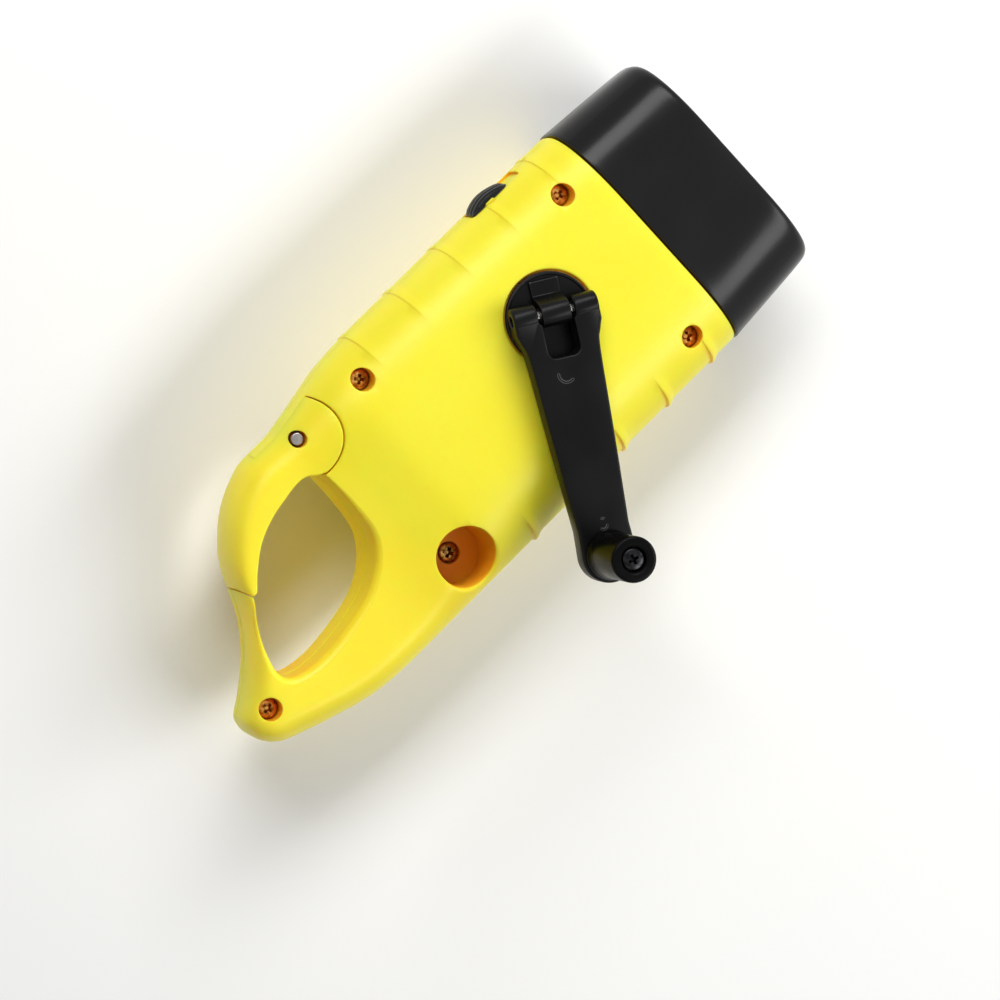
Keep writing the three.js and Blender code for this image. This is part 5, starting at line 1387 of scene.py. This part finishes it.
@dataclass(frozen=True)
class Gate:
    """The carabiner's sprung gate."""

    casing: Casing = Casing()
    rim: float = 0.35
    fork_gap: float = 0.07
    fork_radius: float = 8.81
    hole_radius: float = 1.7
    hole_sides: int = 60
    hole_rim: float = 0.15
    throat_step: float = 0.4

    def build(self) -> None:
        """Build and dress the gate."""
        casing, form, place = self.casing, self.casing.form, self.casing.fasteners.pin_place
        region = form.wall(casing.gate_outline(0.0), self.rim, Rim.PIECE)
        region = combine(region, Combine.JOIN, casing.knuckle(casing.knuckle_radius, self.rim, Rim.PIECE))
        gate = combine(form.solid(), Combine.KEEP, region)
        half = casing.tongue_half + self.fork_gap
        fork = rod(place, self.fork_radius, PART_Z - half, PART_Z + half)
        bore = form.wall(circle_path(place, self.hole_radius, self.hole_sides), self.hole_rim, Rim.HOLE)
        throat = form.wall(smooth_path(casing.loop.throat, self.throat_step, True), self.rim, Rim.HOLE)
        gate = combine(gate, Combine.CUT, fork, bore, throat)
        finished(gate, "carabiner_gate", YELLOW_ABS, "gate_lever", ["gate"])


# Lamp head


@dataclass(frozen=True)
class LampHead:
    """The black bezel with its lens, seal, reflector and three lamps.

    Each row holds a share of the bezel's length, then its width, top and bottom as shares of the case's. Each
    lip holds how far a ring lies from the bezel's end, the row share that it follows and how deep it is inset.
    """

    form: CaseForm = CaseForm()
    rear_x: float = 27.2
    length: float = 23.0
    wall: float = 2.2
    sleeve_inset: float = 2.1
    sleeve_end_x: float = 32.3
    rows: Table = (
        (0, 1.009, 1.016, 0.99), (0.08, 1.003, 1.003, 0.985), (0.35, 0.988, 0.985, 0.965),
        (0.62, 0.972, 0.95, 0.935), (0.85, 0.957, 0.905, 0.885), (0.95, 0.943, 0.875, 0.86),
        (1, 0.91, 0.835, 0.82),
    )
    ring_shares: Row = (
        0.03, 0.055, 0.08, 0.13, 0.2, 0.28, 0.36, 0.44, 0.52, 0.6, 0.68, 0.76, 0.82, 0.87, 0.91, 0.945, 0.97, 0.985,
    )
    rear_lip: Table = ((0, 0, 0.25), (0.07, 0, 0.07), (0.25, 0.011, 0))
    front_lip: Table = (
        (0.12, 1, 0.05), (0, 1, 0.4), (0.02, 0.85, 4.65), (0.12, 0.85, 4.9), (0.4, 0.85, 5.0), (1.5, 0.85, 5.0),
        (1.5, 0.85, 2.2),
    )
    front_share: float = 0.85
    middle_share: float = 0.62
    lens_x: Pair = (45.9, 47.5)
    lens_inset: float = 2.8
    lens_edge: float = 0.15
    seal_x: Pair = (47.8, 48.4)
    seal_band: float = 1.6
    seal_edge: float = 0.1
    reflector_x: Row = (26.4, 32.0, 45.6)
    reflector_insets: Pair = (4.3, 3.3)
    reflector_edge: float = 0.2
    cup_radius: float = 7.1
    cup_floor: float = 2.0
    cup_steps: int = 10
    throat_radius: float = 2.9
    lamp_pitch: float = 14.5
    lamp_z: float = 16.5
    lamp_radius: float = 2.5
    lamp_base_x: float = 25.0
    lamp_flange: tuple[Pair, ...] = ((0.0, 0.0), (2.9, 0.0), (2.9, 1.0), (2.8, 1.1), (2.5, 1.1), (2.5, 5.0))

    def section(self, along: float) -> Section:
        """Find the bezel's outer section on a smooth curve through its rows.

        Args:
            along: share of the bezel's length.

        Returns:
            The section.
        """
        last = len(self.rows) - 1
        after = max(1, next((n for n, row in enumerate(self.rows) if row[0] >= along), last))
        near = [min(max(after + shift, 0), last) for shift in (-2, -1, 0, 1)]
        before, start, end, beyond = (self.rows[n] for n in near)
        width = end[0] - start[0]
        shares = []
        for key in (1, 2, 3):
            leaving = (end[key] - before[key]) / (end[0] - before[0]) * width
            arriving = (beyond[key] - start[key]) / (beyond[0] - start[0]) * width
            shares.append(cubic(start[key], end[key], leaving, arriving, (along - start[0]) / width))
        half, top, bottom = shares
        wide = half * self.form.half_width
        return Section(
            wide, -wide, top * self.form.top_rise, bottom * self.form.bottom_depth, half * self.form.edge_width
        )

    def bezel(self) -> Mesh:
        """Build the bezel as one wall that runs out along its outside and back along its inside.

        Returns:
            The closed mesh.
        """
        rear, front = self.rear_x, self.rear_x + self.length
        sleeve = self.form.at(0.0).inset(self.sleeve_inset)
        rings = [(rear + away, self.section(share).inset(depth)) for away, share, depth in self.rear_lip]
        rings += [(rear + share * self.length, self.section(share)) for share in self.ring_shares]
        rings += [(front - away, self.section(share).inset(depth)) for away, share, depth in self.front_lip]
        rings.append((rear + self.middle_share * self.length, self.section(self.middle_share).inset(self.wall)))
        return self.form.along(rings + [(self.sleeve_end_x, sleeve), (rear, sleeve)], closed=True)

    def inside(self, marks: Sequence[Pair], closed: bool = False) -> Mesh:
        """Skin rings with the outline of the bezel's front, each at a place and an inset."""
        front = self.section(self.front_share)
        return self.form.along([(x, front.inset(depth)) for x, depth in marks], closed)

    def lens(self) -> Mesh:
        """Build the lens, a plate with softened edges."""
        (x0, x1), inset, edge = self.lens_x, self.lens_inset, self.lens_edge
        return self.inside([(x0, inset + edge), (x0 + edge, inset), (x1 - edge, inset), (x1, inset + edge)])

    def seal(self) -> Mesh:
        """Build the seal as a closed band.

        Returns:
            The closed mesh.
        """
        (x0, x1), edge = self.seal_x, self.seal_edge
        outer, inner = self.lens_inset, self.lens_inset + self.seal_band
        return self.inside([
            (x0, outer + edge), (x0 + edge, outer), (x1 - edge, outer), (x1, outer + edge), (x1, inner - edge),
            (x1 - edge, inner), (x0 + edge, inner), (x0, inner - edge),
        ], closed=True)

    def reflector(self) -> Mesh:
        """Build the reflector block with three parabolic cups.

        Returns:
            The closed mesh.
        """
        rear, step, front = self.reflector_x
        neck_inset, mouth_inset = self.reflector_insets
        neck, mouth = self.form.at(0.0).inset(neck_inset), self.section(self.front_share).inset(mouth_inset)
        edge, throat, start = self.reflector_edge, self.throat_radius, self.cup_floor
        block = self.form.along([(rear, neck), (step, neck), (front - edge, mouth), (front, mouth.inset(edge))])
        depth = front - rear - start
        profile = [(0.0, -1.0), (throat, -1.0), (throat, start)]
        for n in range(1, self.cup_steps + 1):
            t = n / self.cup_steps
            profile.append((throat + (self.cup_radius - throat) * math.sqrt(t), start + depth * t))
        profile += [(self.cup_radius, depth + start + 1.0), (0.0, depth + start + 1.0)]
        cups = [self.forward(profile, rear, share, segments=64) for share in (1, 0, -1)]
        return combine(block, Combine.CUT, *cups)

    def forward(self, profile: Path, x: float, share: int, segments: int) -> Mesh:
        """Turn a profile about one lamp's axis, from a place along the body."""
        return shifted(rotated(turned(profile, segments), 90, "Y"), x, share * self.lamp_pitch, self.lamp_z)

    def lamp(self, share: int) -> Mesh:
        """Build one lamp with its flange and dome."""
        radius, (_, start) = self.lamp_radius, self.lamp_flange[-1]
        profile = [*self.lamp_flange, *arc((0.0, start), radius, 10, 80, 7), (0.0, start + radius)]
        return self.forward(profile, self.lamp_base_x, share, segments=48)

    def build(self) -> None:
        """Build and dress the lamp head."""
        finished(self.bezel(), "lamp_bezel", BEZEL_ABS, "body", ["bezel"], 40.0)
        finished(self.lens(), "lamp_lens", POLYCARBONATE, "body", ["lens"])
        finished(self.seal(), "lens_seal_ring", SEAL_RUBBER, "body", ["lens_seal"])
        finished(self.reflector(), "lamp_reflector", METALLISED, "body", ["reflector"])
        for node, share in (("led_left", 1), ("led_center", 0), ("led_right", -1)):
            finished(self.lamp(share), f"{node}_lamp", LAMP_EPOXY, "body", [node])


# Crank


@dataclass(frozen=True)
class Crank:
    """The folding crank: hub with its knuckle, arm with two hinge barrels, and the turning knob.

    Lips and the knob's foot hold points as distances from a radius and from a height. Each moulding mark holds
    its place on the arm, its outer and inner radius, and the angles that it runs between.
    """

    hub_place: Pair = (0.0, 4.0)
    open_angle: float = -120.7
    hub_radius: float = 9.1
    hub_bottom: float = 32.0
    hub_top: float = 33.1
    hub_edge: float = 0.1
    hub_lip: tuple[Pair, ...] = ((0, 0.22), (0.08, 0.07), (0.25, 0), (0.42, 0), (0.6, 0.08), (0.72, 0.2))
    shaft_radius: float = 3.8
    shaft_end: float = 26.1
    journal_radius: float = 2.0
    journal_end: float = 15.8
    journal_edge: float = 0.3
    hinge_offset: float = 1.0
    hinge_z: float = 36.0
    hinge_bore: Row = (1.3, -9.5, 9.5)
    barrel_radius: float = 2.6
    barrel_edge: float = 0.5
    knuckle_half: float = 3.0
    knuckle_edge: float = 0.28
    knuckle_foot: float = 0.5
    tab_near: float = 3.6
    tab_far: float = 6.7
    tab_rise: float = 0.6
    arm_half: float = 2.3
    hinge_half: float = 8.85
    waist_half: float = 7.3
    tip_half: float = 5.3
    flank_x: Pair = (5.2, 26.0)
    flank_step: float = 1.2
    boss_radius: float = 5.6
    reach: float = 49.0
    slot_half: float = 3.3
    slot_wide: float = 3.8
    slot_step_x: Pair = (1.9, 1.3)
    slot_end: float = 8.8
    slot_corner: float = 1.6
    edge: float = 0.45
    post: Row = (1.9, 0.0, 16.9)
    pilot: Row = (1.3, 7.6, 19.0)
    knob_base: float = 2.6
    knob_top: float = 19.0
    knob_radius: float = 4.6
    knob_round: float = 0.7
    knob_foot: float = 5.0
    knob_foot_steps: tuple[Pair, ...] = ((0.15, 0), (0, 0.15), (0, 0.8), (0.12, 1.05), (0.4, 1.9), (0.4, 2.2))
    recess_radius: float = 2.5
    recess_depth: float = 2.4
    recess_lip: tuple[Pair, ...] = ((0.55, 0), (0.4, 0.12), (0.12, 0.3), (0, 0.5))
    bore_radius: float = 2.2
    screw: CrossScrew = CrossScrew(
        head_radius=2.2, head_height=1.3, dome=0.35, shank_radius=1.0, drive_half=1.35, drive_width=0.7,
    )
    screw_z: Pair = (18.5, 9.1)
    screw_turn: float = 15.0
    moulding_marks: Table = (
        (12.2, -0.7, 1.8, 1.5, -105.0, 45.0), (43.1, 0.0, 0.85, 0.6, -60.0, 100.0), (41.0, 0.1, 0.8, 0.6, -35.0, 35.0),
    )
    mark_depth: float = 0.25

    def in_hub(self) -> Matrix:
        """Give the turn and place of the hub's own frame."""
        return Matrix.Translation((*self.hub_place, 0)) @ Matrix.Rotation(math.radians(self.open_angle), 4, "Z")

    def in_arm(self, along: float = 0.0) -> Matrix:
        """Give the turn and place of the hinge's own frame, or of a place along the arm."""
        return self.in_hub() @ Matrix.Translation((along - self.hinge_offset, 0, self.hinge_z))

    def hub(self) -> Mesh:
        """Build the hub with its rim, tab, knuckle and shaft.

        Returns:
            The closed mesh.
        """
        radius, bottom, top = self.hub_radius, self.hub_bottom, self.hub_top
        profile = [
            (0.0, self.journal_end), (self.journal_radius - self.journal_edge, self.journal_end),
            (self.journal_radius, self.journal_end + self.journal_edge), (self.journal_radius, self.shaft_end),
            (self.shaft_radius, self.shaft_end), (self.shaft_radius, bottom), (radius - self.hub_edge, bottom),
            (radius, bottom + self.hub_edge), *[(radius - back, top - down) for back, down in self.hub_lip],
            (0.0, top - self.hub_lip[-1][1]),
        ]
        hinge_x, foot = -self.hinge_offset, top - self.knuckle_foot
        side = [
            (hinge_x - self.tab_far, foot), (hinge_x - self.tab_far, top + self.tab_rise),
            (hinge_x - self.tab_near, top + self.tab_rise),
            *arc((hinge_x, self.hinge_z), self.barrel_radius, 152, -22, 29),
            (hinge_x + self.barrel_radius - 0.1, foot),
        ]
        knuckle = soften(prism(side, -self.knuckle_half, self.knuckle_half), self.knuckle_edge, limit=30.0)
        disc = combine(turned(profile, segments=128), Combine.JOIN, rotated(knuckle, 90, "X"))
        bore = shifted(cross_pin(*self.hinge_bore), hinge_x, 0, self.hinge_z)
        return moved(combine(disc, Combine.CUT, bore), self.in_hub())

    def arm_outline(self) -> Path:
        """Draw the arm in plan with its slot.

        Returns:
            The outline, anticlockwise.
        """
        half, waist, (near, far) = self.hinge_half, self.waist_half, self.flank_x
        flank = smooth_path([
            (self.barrel_radius + 0.5, half), (near, (half + waist) / 2), (self.slot_end, waist),
            (far, (waist + self.tip_half) / 2 + 0.05), (self.reach - self.boss_radius, self.tip_half),
        ], self.flank_step)
        left = [(0.0, half), *flank]
        tip = arc((self.reach, 0.0), self.boss_radius, 90, -90, 30)
        corner, gap, wide = self.slot_corner, self.slot_half, self.slot_wide
        outer, inner = self.slot_step_x
        slot = arc((self.slot_end - corner, gap - corner), corner, 0, 90, 6)
        slot += [(outer, gap), (inner, wide), (0.0, wide)]
        right, across = ([(x, -y) for x, y in reversed(side)] for side in (left, slot))
        return (left + tip + right + across + slot)[::-1]

    def arm(self) -> Mesh:
        """Build the arm with its barrels and the knob's post.

        Returns:
            The closed mesh.
        """
        top = self.arm_half
        plate = prism(self.arm_outline(), -top, top)
        plate = soften(plate, self.edge, segments=4, limit=60.0, chosen=lambda middle: abs(abs(middle.z) - top) < 0.01)
        barrels = []
        for side in (1, -1):
            low, high = sorted(side * end for end in (self.slot_wide, self.hinge_half))
            barrels.append(soften(cross_pin(self.barrel_radius, low, high), self.barrel_edge))
        arm = combine(plate, Combine.JOIN, *barrels)
        arm = combine(arm, Combine.CUT, cross_pin(*self.hinge_bore))
        arm = combine(arm, Combine.JOIN, shifted(pin(*self.post, segments=40), self.reach, 0))
        cuts = [shifted(pin(*self.pilot, segments=32), self.reach, 0)]
        for x, y, outer, inner, first, last in self.moulding_marks:
            crescent = arc((x, y), outer, first, last, 24) + arc((x, y), inner, last, first, 24)
            cuts.append(prism(crescent, top - self.mark_depth, top + 0.5))
        return moved(combine(arm, Combine.CUT, *cuts), self.in_arm())

    def knob(self) -> Mesh:
        """Build the knob as one turned form.

        Returns:
            The closed mesh.
        """
        low, top, corner, lip = self.knob_base, self.knob_top, self.knob_round, self.recess_radius
        floor = top - self.recess_depth
        profile = [
            (self.bore_radius, low), *[(self.knob_foot - back, low + up) for back, up in self.knob_foot_steps],
            *arc((self.knob_radius - corner, top - corner), corner, 0, 90, 6),
            *[(lip + out, top - down) for out, down in self.recess_lip], (lip, floor), (self.bore_radius, floor),
        ]
        return moved(turned(profile, segments=96), self.in_arm(self.reach))

    def build(self) -> None:
        """Build and dress the crank."""
        knob_screw = moved(self.screw.mesh((0.0, 0.0), *self.screw_z, self.screw_turn), self.in_arm(self.reach))
        finished(self.hub(), "crank_hub_disc", CRANK_NYLON, "hub", ["crank_hub"])
        finished(self.arm(), "folding_arm", CRANK_NYLON, "arm", ["crank_arm"])
        finished(self.knob(), "turning_knob", KNOB_NYLON, "knob_grip", ["knob"])
        finished(knob_screw, "knob_screw_black", BLACK_STEEL, "arm", ["knob_screw"])


# Side switch


@dataclass(frozen=True)
class SideSwitch:
    """The ribbed thumb piece that slides along the body.

    The arch holds a share of the length, the height of the crown and a share of the width. The stem and the
    flange are held as their limits from the thumb piece's middle.
    """

    centre_x: float = 8.85
    length: float = 9.3
    height: float = 7.2
    base_y: float = 27.3
    base_rise: float = 0.3
    arch: Table = (
        (0.0, 27.7, 0.8), (0.015, 28.0, 0.86), (0.05, 28.35, 0.93), (0.12, 28.75, 0.98), (0.22, 29.1, 1.0),
        (0.35, 29.35, 1.0), (0.48, 29.4, 1.0), (0.62, 29.25, 1.0), (0.76, 28.95, 0.99), (0.88, 28.6, 0.97),
        (0.95, 28.3, 0.93), (0.985, 28.0, 0.87), (1.0, 27.7, 0.8),
    )
    crown: float = 0.7
    edge_share: float = 0.14
    edge_drop: float = 0.35
    ridges: int = 5
    ridge_depth: float = 0.28
    ridge_power: float = 0.7
    steps: int = 60
    stem: Row = (-1.8, 1.8, 24.7, 27.6, 18.9, 21.1)
    flange: Row = (-3.3, 3.3, 24.2, 25.2, 18.2, 21.8)

    def ring(self, x: float, peak: float, half: float) -> list[Vector]:
        """Lay one section of the pad, with its ridges running along the body.

        Args:
            x: its place along the body.
            peak: height of its crown.
            half: half its width.

        Returns:
            The points, once round.
        """
        points = [Vector((x, self.base_y, PART_Z + side * half)) for side in (-1, 1)]
        for n in range(self.steps + 1):
            across = 1 - 2 * n / self.steps
            wave = abs(math.sin(math.pi * self.ridges * (across + 1) / 2)) ** self.ridge_power
            valley = self.ridge_depth * (1 - wave) if 0 < n < self.steps else 0.0
            over = max(abs(across) - (1 - self.edge_share), 0.0) / self.edge_share
            drop = self.crown * across ** 2 + valley + self.edge_drop * over ** 2
            y = max(self.base_y + self.base_rise, peak - drop)
            points.append(Vector((x, y, PART_Z + half * across)))
        return points

    def build(self) -> None:
        """Build and dress the thumb piece with its stem and flange."""
        rear = self.centre_x - self.length / 2
        rings = [
            self.ring(rear + share * self.length, peak, self.height / 2 * width) for share, peak, width in self.arch
        ]
        under = [shifted(slab(*limits), self.centre_x, 0) for limits in (self.stem, self.flange)]
        thumb = combine(skin(rings), Combine.JOIN, *under)
        finished(thumb, "switch_thumb", THUMB_PLASTIC, "slider", ["switch_slider"])


# Solar panel


@dataclass(frozen=True)
class SolarPanel:
    """The solar cell behind its clear window in the lower face. Both are held as their limits."""

    window: Row = (-24.0, 20.0, -12.0, 12.0, 0.0, 1.2)
    window_corner: float = 0.9
    cell: Row = (-22.5, 18.5, -10.5, 10.5, 1.5, 2.1)
    cell_corner: float = 0.3
    edge: float = 0.12

    def pane(self, limits: Row, corner: float) -> Mesh:
        """Build a pane with rounded corners and softened edges."""
        middle_z = sum(limits[4:]) / 2
        pane = soften(slab(*limits), corner, segments=5, chosen=lambda middle: abs(middle.z - middle_z) < 0.01)
        return soften(pane, self.edge, segments=2, limit=60.0)

    def build(self) -> None:
        """Build and dress the window and the cell."""
        window, cell = self.pane(self.window, self.window_corner), self.pane(self.cell, self.cell_corner)
        finished(window, "solar_window_pane", POLYCARBONATE, "body", ["solar_window"])
        finished(cell, "solar_cell_plate", SILICON_CELL, "body", ["solar_cell"])


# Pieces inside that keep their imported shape


@dataclass(frozen=True)
class Internals:
    """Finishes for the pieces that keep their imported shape."""

    finishes: tuple[tuple[Finish, tuple[str, ...]], ...] = (
        (GROUND_STEEL, ("gate_spring", "hinge_pin", "shaft_clip", "gear_pin_1", "gear_pin_2", "rotor_shaft")),
        (BLACK_STEEL, ("plate_screw_rear", "plate_screw_side", "plate_screw_front")),
        (ZINC_SHEET, ("stator_can", "stator_claws", "switch_body")),
        (GEAR_ACETAL, (
            "gear_plate", "crank_gear", "compound_gear_1", "compound_gear_2", "rotor_pinion", "coil_bobbin",
        )),
        (BOARD_LAMINATE, ("led_board", "main_board")),
        (SHRINK_SLEEVE, ("battery_pack",)),
        (LEAD_SLEEVE, ("battery_lead", "generator_lead", "led_lead", "solar_lead")),
        (FERRITE, ("magnet_rotor",)),
        (ENAMELLED_COPPER, ("coil_winding",)),
        (THUMB_PLASTIC, ("switch_lever",)),
    )

    def build(self) -> None:
        """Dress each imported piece."""
        for finish, nodes in self.finishes:
            for node in nodes:
                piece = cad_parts[node]
                if not piece.material_slots:
                    piece.data.materials.append(None)
                for slot in piece.material_slots:
                    slot.material = finish.material()
                log.info("%s dressed", node)


# Studio


def aim(item: bpy.types.Object, spot: Vector, axes: Sequence[Vector]) -> None:
    """Place a camera or a lamp with its own X, Y and Z along three directions."""
    item.matrix_world = Matrix.Translation(spot) @ Matrix(axes).transposed().to_4x4()


@dataclass(frozen=True)
class Studio:
    """Camera at the photograph's angle, two soft lamps, a pale floor and a pale surround.

    Lamp places and sizes, the floor's size and the clipping distance are in metres. Each lamp holds its
    direction, its width and height, and its power in watts.
    """

    view: Row = (-0.156, 0.216, 0.964)
    hub: Row = (0.0, 4.0, 33.0)
    distance: float = 950.0
    shift_right: float = -9.96
    shift_up: float = -36.05
    lens: float = 173.4
    sensor: float = 36.0
    clip_end: float = 20.0
    floor_z: float = -0.15
    floor_size: float = 3.0
    surround: float = 0.15
    lamps: Table = ((0.42, 0.62, 0.73, 0.9, 0.26, 6.0), (0.42, -0.62, 0.73, 0.9, 0.24, 4.7))
    lamp_distance: float = 0.8
    lit_middle: Row = (-0.02, -0.004, 0.02)

    def axes(self) -> tuple[Vector, Vector, Vector]:
        """Find the picture's axes: the body lies along its diagonal.

        Returns:
            The right and up directions, and the direction to the camera.
        """
        back = Vector(self.view).normalized()
        length = math.sqrt(1 - back.x ** 2)
        first = Vector((1 - back.x ** 2, -back.x * back.y, -back.x * back.z)) / length
        second = Vector((0, -back.z, back.y)) / length
        return (first + second) / math.sqrt(2), (first - second) / math.sqrt(2), back

    def camera(self) -> None:
        """Place the camera."""
        right, up, back = self.axes()
        spot = Vector(self.hub) + back * self.distance + right * self.shift_right + up * self.shift_up
        data = bpy.data.cameras.new("camera")
        data.sensor_fit = "HORIZONTAL"
        data.sensor_width, data.lens, data.clip_end = self.sensor, self.lens, self.clip_end
        made = placed("camera", data)
        aim(made, spot * MM, (right, up, back))
        bpy.context.scene.camera = made

    def light(self) -> None:
        """Place the lamps."""
        for number, (x, y, z, width, height, power) in enumerate(self.lamps):
            data = bpy.data.lights.new(f"soft_lamp_{number}", "AREA")
            data.shape = "RECTANGLE"
            data.size, data.size_y, data.energy = width, height, power
            toward = Vector((x, y, z)).normalized()
            along = (Vector((1, 0, 0)) - toward * toward.x).normalized()
            spot = Vector(self.lit_middle) + toward * self.lamp_distance
            aim(placed(data.name, data), spot, (along, toward.cross(along), toward))

    def surroundings(self) -> None:
        """Give the world a soft fill, which the camera, gloss and glass see as white."""
        world = bpy.data.worlds.new("studio")
        bpy.context.scene.world = world
        world.use_nodes = True
        tree = world.node_tree
        tree.nodes.clear()
        rays = add_node(tree, "ShaderNodeLightPath", {}).outputs
        seen = rays["Is Camera Ray"]
        for kind in ("Is Transmission Ray", "Is Glossy Ray"):
            seen = add_node(tree, "ShaderNodeMath", {0: seen, 1: rays[kind]}, operation="MAXIMUM").outputs[0]
        strength = add_node(tree, "ShaderNodeMapRange", {"Value": seen, "To Min": self.surround, "To Max": 1.0})
        glow = add_node(tree, "ShaderNodeBackground", {
            "Color": (1.0, 1.0, 1.0, 1.0), "Strength": strength.outputs["Result"],
        })
        add_node(tree, "ShaderNodeOutputWorld", {"Surface": glow.outputs[0]})

    def floor(self) -> None:
        """Lay the pale floor, in matt white paint that shows no gloss."""
        mesh = bmesh.new()
        bmesh.ops.create_grid(mesh, x_segments=1, y_segments=1, size=self.floor_size / 2)
        data = stored(shifted(mesh, 0, 0, self.floor_z * MM), "floor")
        material = bpy.data.materials.new("matt_white_floor")
        material.use_nodes = True
        shader = material.node_tree.nodes["Principled BSDF"]
        paint = {"Base Color": linear("F4F4F2"), "Roughness": 0.9, "Specular IOR Level": 0.0}
        for socket, value in paint.items():
            shader.inputs[socket].default_value = value
        data.materials.append(material)
        made = placed("floor", data)

    def build(self) -> None:
        """Set up the whole studio."""
        bpy.context.scene.view_settings.view_transform = "Standard"
        self.camera()
        self.light()
        self.surroundings()
        self.floor()


def main() -> None:
    """Build the flashlight and its studio."""
    logging.basicConfig(level=logging.INFO, format="%(name)s: %(message)s")
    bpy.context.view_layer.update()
    Studio().build()
    for part in (Casing(), Gate(), LampHead(), Crank(), SideSwitch(), Fasteners(), SolarPanel(), Internals()):
        part.build()
        log.info("%s done", type(part).__name__)
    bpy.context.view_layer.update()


if __name__ == "__main__":
    main()
